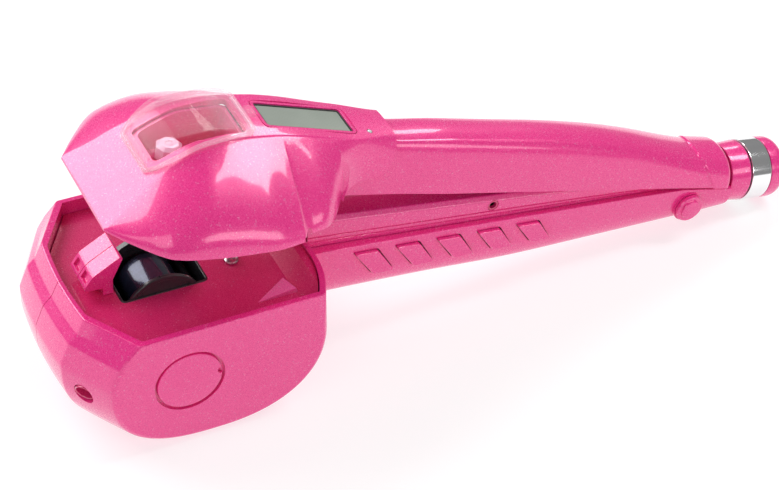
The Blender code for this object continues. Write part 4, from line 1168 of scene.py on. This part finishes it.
class CURLER_OT_swivel(bpy.types.Operator):
    """Collar, polished ring, dark seams and the end cap that turns with the cord"""

    bl_idname = "curler.swivel"
    bl_label = "Swivel tail"

    def execute(self, context):
        start, r = TAIL_START, TAIL_R
        at, line = tail_point(0.0), tail_line()
        collar = [(4.9, start - 5.4), (7.2, start - 5.4), (7.2, start - 4.2), (5.8, start - 4.2)]
        collar += [(5.8, start + 0.3), (r - 1.1, start + 0.3), (r - 0.9, start + 0.6)]
        collar += [(r - 0.55, -9.5), (r - 0.15, -5.7), (r - 0.3, -5.0), (r - 0.7, -4.8), (4.9, -4.8)]
        piece = turned(collar, at, line, count=128)
        complete(piece, "tail_sleeve", "lower_arm", "pink", ["tail_collar"], angle=40.0)
        ring = [(5.4, -4.4), (r - 0.2, -4.4), (r + 0.02, -4.3), (r + 0.1, -4.1)]
        ring += [(r + 0.1, 4.5), (r + 0.02, 4.7), (r - 0.2, 4.8), (5.4, 4.8)]
        piece = turned(ring, at, line, count=128)
        complete(piece, "polished_ring", "swivel", "chrome", ["swivel_ring"], angle=40.0)
        for name, low, high in (("front", -4.85, -4.35), ("rear", 4.75, 5.25)):
            seam = turned([(6.0, low), (r - 0.6, low), (r - 0.6, high), (6.0, high)], at, line, count=128)
            complete(seam, f"ring_seam_{name}", "swivel", "gasket")
        end = [(2.8, start - 2.0), (4.5, start - 2.0), (4.5, 5.2), (r - 0.4, 5.2), (r - 0.1, 5.35)]
        end += [(r, 5.7), (r, CAP_STRAIGHT - 0.6)]
        reach = 3.6
        for i in range(17):
            angle = math.radians(90.0 * i / 16)
            out = r - reach + reach * math.cos(angle) ** 0.9
            end.append((out, CAP_STRAIGHT - 0.6 + (reach + 0.6) * math.sin(angle)))
        rear = CAP_STRAIGHT + reach
        end += [(4.0, rear), (3.2, rear - 0.5), (2.8, rear - 1.4)]
        piece = turned(end, at, line, count=128)
        complete(piece, "end_cap", "swivel", "pink", ["cord_end_cap"], angle=40.0)
        return {"FINISHED"}


# ---------------------------------------------------------------- upper arm


class CURLER_OT_head(bpy.types.Operator):
    """Head cover with its creased top band, scooped cheeks and the tongue over the handle cover"""

    bl_idname = "curler.head"
    bl_label = "Head cover"

    def execute(self, context):
        xs = steps_between(HEAD_FRONT, 4.0, 18)
        xs += steps_between(5.2, CREST_X, 36) + [CREST_X + d for d in (0.2, 0.5, 0.9, 1.4, 2.0)]
        xs += steps_between(CREST_X + 2.8, TONGUE_END + 3.0, 58)
        piece = loft([head_section(x) for x in sorted(set(xs + [72.8, 79.0]))], jaw=True)
        cuts = [loft([head_section(x, 2.0) for x in steps_between(-9.4, 82.0, 44)], jaw=True)]
        under_tongue = steps_between(80.0, TONGUE_END + 6.0, 12)
        cuts.append(loft([sleeve_section(x, 0.0, 0.1) for x in under_tongue], jaw=True))
        outside = [(-60.0, -60.0), (77.4, -60.0), (77.4, -3.0), (77.9, -1.9), (79.5, -0.9), (83.0, 0.1)]
        outside += [(88.0, 0.6), (92.0, 1.2), (94.6, 2.7), (96.4, 4.9), (97.6, 7.4), (98.3, 10.0)]
        outside += [(TONGUE_END, 13.0), (TONGUE_END, 60.0), (-60.0, 60.0)]
        combine(piece, "DIFFERENCE", *cuts)
        combine(piece, "INTERSECT", prism(outside, -80.0, 80.0, jaw=True))
        way = rounded(TUB_X[0] - GAP, TUB_X[1] + GAP, -TUB_HALF - GAP, TUB_HALF + GAP, 2.0)
        hole = plug_profile((1.1, -6.0), (1.1, 6.0))
        combine(
            piece, "DIFFERENCE", prism(way, 6.0, 40.0, jaw=True, plane="xy"), display_block(2.2, -8.0, 8.0),
            turned(hole, INDICATOR, (0.2, 0.0, 1.0), jaw=True, count=40),
        )
        complete(piece, "head_shell", "upper_arm", "pink", ["head_cover"], angle=22.0)
        return {"FINISHED"}


class CURLER_OT_handle_cover(bpy.types.Operator):
    """Narrow cover of the upper handle, with the raised band at its tail end"""

    bl_idname = "curler.handle_cover"
    bl_label = "Upper handle cover"

    def execute(self, context):
        rings = []
        for x in steps_between(SLEEVE_START, 230.0, 66) + steps_between(231.0, SLEEVE_END, 46):
            sink = 0.9 * (1.0 - ease(x, 100.0, 126.0)) + 0.6 * (1.0 - ease(x, 126.0, 205.0))
            ring = sleeve_section(x, 0.0, -sink)
            high, low = max(p[2] for p in ring), min(p[2] for p in ring)
            moved = []
            for px, y, z in ring:
                fall = (high - z) / (high - low)
                edge = 239.5 + 7.0 * fall
                swell = 0.55 * ease(x, edge - 0.35, edge + 0.35)
                swell -= 0.35 * ease(x, SLEEVE_END - 1.0, SLEEVE_END)
                size = 1.0 + swell / max(4.0, math.hypot(y, z - low))
                moved.append((px, y * size, low + (z - low) * size))
            rings.append(moved)
        piece = loft(rings, jaw=True)
        inside = [sleeve_section(x, 2.0) for x in steps_between(SLEEVE_START - 2.0, SLEEVE_END + 2.0, 60)]
        combine(piece, "DIFFERENCE", loft(inside, jaw=True))
        complete(piece, "handle_cover", "upper_arm", "pink", ["upper_handle_cover"], angle=24.0)
        return {"FINISHED"}


class CURLER_OT_display(bpy.types.Operator):
    """Bezel, black frame and window of the display, and the indicator lens"""

    bl_idname = "curler.display"
    bl_label = "Display"

    def execute(self, context):
        bezel = combine(display_block(1.95, -3.4, -0.15), "DIFFERENCE", display_block(0.75, -9.0, 9.0))
        complete(bezel, "bezel", "upper_arm", "pink", ["display_bezel"], bevel=0.3)
        # A thin black frame round the display window, in the dark rubber finish.
        gasket = combine(display_block(0.65, -2.9, -0.55), "DIFFERENCE", display_block(0.08, -9.0, 9.0))
        complete(gasket, "window_gasket", "upper_arm", "gasket", bevel=0.1)
        window = display_block(0.02, -2.4, -0.75)
        complete(window, "window", "upper_arm", "display", ["display_glass"], bevel=0.2)
        lens = turned(
            plug_profile((0.9, -2.6), (0.9, -0.1), (0.75, 0.12), (0.45, 0.25)), INDICATOR, (0.2, 0.0, 1.0),
            jaw=True, count=40,
        )
        complete(lens, "indicator_dome", "upper_arm", "lens", ["indicator_lens"])
        return {"FINISHED"}


class CURLER_OT_tank(bpy.types.Operator):
    """Tank tub, faceted stopper, clear lid with its thick rim, and the latch"""

    bl_idname = "curler.tank"
    bl_label = "Tank"

    def execute(self, context):
        outside = rounded(*TUB_X, -TUB_HALF, TUB_HALF, 1.8)
        hollow = rounded(TUB_X[0] + 1.2, TUB_X[1] - 1.2, -TUB_HALF + 1.2, TUB_HALF - 1.2, 2.2)
        tub = prism(outside, TUB_FLOOR - 1.2, 23.2, jaw=True, plane="xy")
        shave = [(x, along(x, HEAD_TOP) - 1.4) for x in steps_between(-2.0, 44.0, 30)]
        combine(
            tub, "DIFFERENCE", prism(hollow, TUB_FLOOR, 40.0, jaw=True, plane="xy"),
            prism(shave + [(44.0, 60.0), (-2.0, 60.0)], -20.0, 20.0, jaw=True),
        )
        complete(tub, "tub", "upper_arm", "pink", ["tank_tub"], bevel=0.25)

        knob = turned(
            plug_profile(
                (3.4, 0.4), (3.4, 3.0), (4.7, 3.8), (4.7, 8.4), (3.3, 9.6), (1.6, 9.6), (1.2, 9.2),
            ),
            (*STOPPER, TUB_FLOOR), (0.0, 0.0, 1.0), jaw=True, count=8,
        )
        complete(knob, "stopper_knob", "stopper", "pale_pink", ["tank_stopper"], bevel=0.2, angle=14.0)

        xs = steps_between(LID_WIDTH[0][0], LID_WIDTH[-1][0], 46)
        lid = loft([lid_section(x, along(x, LID_WIDTH)) for x in xs], jaw=True)
        inner = steps_between(xs[0] + 1.6, xs[-1] - 1.5, 42)
        skin = loft([head_section(x) for x in steps_between(HEAD_FRONT, 60.0, 60)], jaw=True)
        for vertex in skin.data.vertices:
            vertex.co.z += 0.35 * MM
        hollow = loft([lid_section(x, along(x, LID_WIDTH), 1.3) for x in inner], jaw=True)
        combine(lid, "DIFFERENCE", hollow, skin)
        width = context.scene.curler_sizes.lid_rim
        path = [(x, along(x, LID_WIDTH), along(x, HEAD_TOP)) for x in steps_between(2.6, 41.4, 34)]
        path = path[::-1] + [(x, -y, z) for x, y, z in path]
        section = [(0.15, 0.6), (0.15, 1.5), (-0.2, 2.0), (-width + 0.3, 2.0), (-width, 1.6), (-width, 0.6)]
        rim = sweep(path, section, jaw=True)
        complete(lid, "lid", "lid", "clear", ["tank_lid"], angle=30.0)
        complete(rim, "lid_rim", "lid", "clear_edge", bevel=0.12)

        catch = prism(rounded(42.2, 45.2, -2.6, 2.6, 0.8), 25.4, 27.0, jaw=True, plane="xy")
        complete(catch, "latch_tab", "latch", "clear", ["lid_latch"], bevel=0.35)
        return {"FINISHED"}


# ---------------------------------------------------------------- screws


def screw_tree():
    """A node tree that stands a screw head on every point, turned one way."""
    tree = bpy.data.node_groups.new("screw_heads", "GeometryNodeTree")
    face = tree.interface
    face.new_socket("Points", in_out="INPUT", socket_type="NodeSocketGeometry")
    face.new_socket("Head", in_out="INPUT", socket_type="NodeSocketObject")
    face.new_socket("Turn", in_out="INPUT", socket_type="NodeSocketVector")
    face.new_socket("Finish", in_out="INPUT", socket_type="NodeSocketMaterial")
    face.new_socket("Heads", in_out="OUTPUT", socket_type="NodeSocketGeometry")
    nodes, link = tree.nodes, tree.links.new
    start, end = nodes.new("NodeGroupInput"), nodes.new("NodeGroupOutput")
    head = nodes.new("GeometryNodeObjectInfo")
    turn = nodes.new("FunctionNodeEulerToRotation")
    stand = nodes.new("GeometryNodeInstanceOnPoints")
    real = nodes.new("GeometryNodeRealizeInstances")
    paint = nodes.new("GeometryNodeSetMaterial")
    link(start.outputs["Head"], head.inputs["Object"])
    link(start.outputs["Turn"], turn.inputs["Euler"])
    link(start.outputs["Points"], stand.inputs["Points"])
    link(head.outputs["Geometry"], stand.inputs["Instance"])
    link(turn.outputs["Rotation"], stand.inputs["Rotation"])
    link(stand.outputs["Instances"], real.inputs["Geometry"])
    link(real.outputs["Geometry"], paint.inputs["Geometry"])
    link(start.outputs["Finish"], paint.inputs["Material"])
    link(paint.outputs["Geometry"], end.inputs["Heads"])
    return tree


class CURLER_OT_screws(bpy.types.Operator):
    """Cross-head screws of the tray, the far shell and the head's plate"""

    bl_idname = "curler.screws"
    bl_label = "Screws"

    def execute(self, context):
        tree = screw_tree()
        sockets = {item.name: item.identifier for item in tree.interface.items_tree}
        head = turned(
            plug_profile(
                (1.2, -6.0), (1.2, 0.1), (2.3, 0.1), (2.5, 0.3), (2.5, 0.8), (2.1, 1.2), (1.4, 1.4),
            ),
            (X_MIDDLE, 0.0, -RIM_HEIGHT), (0.0, 0.0, 1.0), count=48,
        )
        middle = (X_MIDDLE, 0.0, -RIM_HEIGHT)
        for wide, deep in ((1.5, 0.28), (0.28, 1.5)):
            low = (middle[0] - wide, -deep, middle[2] + 0.7)
            combine(head, "DIFFERENCE", block(low, (middle[0] + wide, deep, middle[2] + 3.0)))
        head.hide_render = True
        rows = []
        spots = [(x, y, FLOOR_Z + GAP) for x, y in TRAY_SCREWS]
        nodes = ["tray_screw_1", "tray_screw_2"]
        rows.append(("tray_screws", "lower_arm", spots, (0.0, 0.0, 0.4), False, nodes))
        spots = []
        for x, z in SHELL_SCREWS:
            face = POD_HALF if x < GRIP_START else along(x, GRIP_HALF)
            spots.append((x, face - 1.3, z))
        nodes = [f"shell_screw_{i + 1}" for i in range(len(SHELL_SCREWS))]
        rows.append(("shell_screws", "lower_arm", spots, (-math.pi / 2, 0.0, 0.0), False, nodes))
        spots = [(x, y, 0.7) for x, y in JAW_SCREWS]
        turn = (math.pi, math.radians(OPEN_ANGLE), 0.0)
        rows.append(("plate_screws", "upper_arm", spots, turn, True, ["jaw_screw_1", "jaw_screw_2"]))
        for name, body, spots, turn, jaw, nodes in rows:
            mesh = bpy.data.meshes.new(name)
            mesh.from_pydata([world(p, jaw) for p in spots], [], [])
            obj = bpy.data.objects.new(name, mesh)
            context.scene.collection.objects.link(obj)
            modifier = obj.modifiers.new("heads", "NODES")
            modifier.node_group = tree
            modifier[sockets["Head"]] = head
            modifier[sockets["Turn"]] = turn
            modifier[sockets["Finish"]] = FINISHES["steel"]
            settle(obj)
            complete(obj, name, body, "steel", nodes)
        bpy.data.objects.remove(head)
        return {"FINISHED"}


class CURLER_OT_carried_parts(bpy.types.Operator):
    """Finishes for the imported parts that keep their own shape"""

    bl_idname = "curler.carried_parts"
    bl_label = "Carried parts"

    def execute(self, context):
        wanted = {row["node"]: row["material_slot"] for row in frame["record"]["subparts"]}
        # The painted-highlight pink and the clear rim finish share slots with pink and clear, so they are
        # left out here.
        looks = {slot: look for look, slot in SLOTS.items() if look not in ("clear_edge", "facet_painted_highlight")}
        for name, node in frame["nodes"].items():
            look = looks[wanted[name]]
            node.data.materials.clear()
            node.data.materials.append(FINISHES[look])
            for polygon in node.data.polygons:
                polygon.material_index = 0
        return {"FINISHED"}


class CURLER_OT_stage(bpy.types.Operator):
    """Pale floor, soft studio lights and the camera"""

    bl_idname = "curler.stage"
    bl_label = "Stage"

    def execute(self, context):
        colours = context.scene.curler_colours
        scene = context.scene
        s = Shader("studio_floor")
        cloud = s.noise(6.0, 2.0)
        floor_colour = tuple(colours.floor)
        base = s.blend(cloud * 0.4, floor_colour, tuple(c * 0.98 for c in floor_colour))
        paper = s.finish(s.surface(
            Base_Color=base, Roughness=0.75 + (cloud - 0.5) * 0.1, Emission_Color=(1.0, 1.0, 1.0),
            Emission_Strength=0.66,
        ))
        mesh = bpy.data.meshes.new("floor")
        corners = [(x, y, -0.0003) for x, y in ((-4, -4), (4, -4), (4, 4), (-4, 4))]
        mesh.from_pydata(corners, [], [(0, 1, 2, 3)])
        mesh.materials.append(paper)
        floor = bpy.data.objects.new("floor", mesh)
        scene.collection.objects.link(floor)

        sky = bpy.data.worlds.new("studio")
        scene.world = sky
        sky.use_nodes = True
        sky.node_tree.nodes["Background"].inputs["Color"].default_value = (1.0, 1.0, 1.0, 1.0)
        sky.node_tree.nodes["Background"].inputs["Strength"].default_value = 0.25

        middle = Vector((-0.06, 0.0, 0.07))
        for name, direction, distance, size, watts, along_line in (
            ("key", (-0.47, 0.62, 0.62), 1.1, (0.80, 0.80), colours.key_light, (1.0, 0.0, 0.0)),
            ("top_box", (0.63, -0.06, 0.77), 1.0, (0.52, 0.22), 3.4, (0.43, -0.17, -0.36)),
            ("front_fill", (-0.68, -0.44, 0.58), 1.3, (0.75, 0.75), 3.2, (1.0, 0.0, 0.0)),
            ("side_strip", (0.45, -0.80, 0.36), 1.2, (0.90, 0.30), 3.0, (1.0, 0.0, 0.0)),
            ("back_strip", (0.78, 0.85, 0.78), 1.39, (0.60, 0.20), 2.8, (1.0, 0.0, 0.0)),
        ):
            lamp = bpy.data.lights.new(name, "AREA")
            lamp.energy = watts
            lamp.shape = "RECTANGLE"
            lamp.size, lamp.size_y = size
            obj = bpy.data.objects.new(name, lamp)
            scene.collection.objects.link(obj)
            back = Vector(direction).normalized()
            side = Vector(along_line)
            side = (side - back * side.dot(back)).normalized()
            aim = Matrix((side, back.cross(side), back)).transposed().to_4x4()
            aim.translation = middle + back * distance
            obj.matrix_world = aim

        view = bpy.data.cameras.new("view")
        view.sensor_width = 36.0
        view.lens = 101.7
        view.clip_start = 0.01
        camera = bpy.data.objects.new("view", view)
        scene.collection.objects.link(camera)
        forward = Vector((0.3709, 0.6554, -0.6579))
        right, up = Vector((0.8944, -0.4427, 0.0632)), Vector((0.2498, 0.6119, 0.7504))
        turn = Matrix((right, up, -forward)).transposed().to_4x4()
        turn.translation = Vector((-0.31915, -0.5319, 0.5595))
        camera.matrix_world = turn
        scene.camera = camera
        scene.view_settings.view_transform = "Standard"
        return {"FINISHED"}


ORDER = (
    "finishes", "carried_parts", "lower_shells", "tray", "hair_guide", "chamber", "inner_cover", "keys",
    "side_fittings", "swivel", "head", "handle_cover", "display", "tank", "screws", "stage",
)


class CURLER_PT_build(bpy.types.Panel):
    """The curler's pieces, sizes and colours"""

    bl_idname = "CURLER_PT_build"
    bl_label = "Hair curler"
    bl_space_type = "VIEW_3D"
    bl_region_type = "UI"
    bl_category = "Curler"

    def draw(self, context):
        for group in (context.scene.curler_sizes, context.scene.curler_colours):
            box = self.layout.box()
            for name in group.__annotations__:
                box.prop(group, name)
        for name in ORDER:
            self.layout.operator(f"curler.{name}")


CLASSES = (
    CurlerSizes, CurlerColours, CURLER_OT_finishes, CURLER_OT_lower_shells, CURLER_OT_tray,
    CURLER_OT_hair_guide, CURLER_OT_chamber, CURLER_OT_inner_cover, CURLER_OT_keys,
    CURLER_OT_side_fittings, CURLER_OT_swivel, CURLER_OT_head, CURLER_OT_handle_cover,
    CURLER_OT_display, CURLER_OT_tank, CURLER_OT_screws, CURLER_OT_carried_parts, CURLER_OT_stage,
    CURLER_PT_build,
)


def register():
    for item in CLASSES:
        bpy.utils.register_class(item)
    bpy.types.Scene.curler_sizes = PointerProperty(type=CurlerSizes)
    bpy.types.Scene.curler_colours = PointerProperty(type=CurlerColours)


def unregister():
    del bpy.types.Scene.curler_colours
    del bpy.types.Scene.curler_sizes
    for item in reversed(CLASSES):
        bpy.utils.unregister_class(item)


def main():
    register()
    for name in ORDER:
        getattr(bpy.ops.curler, name)()


if __name__ == "__main__":
    main()
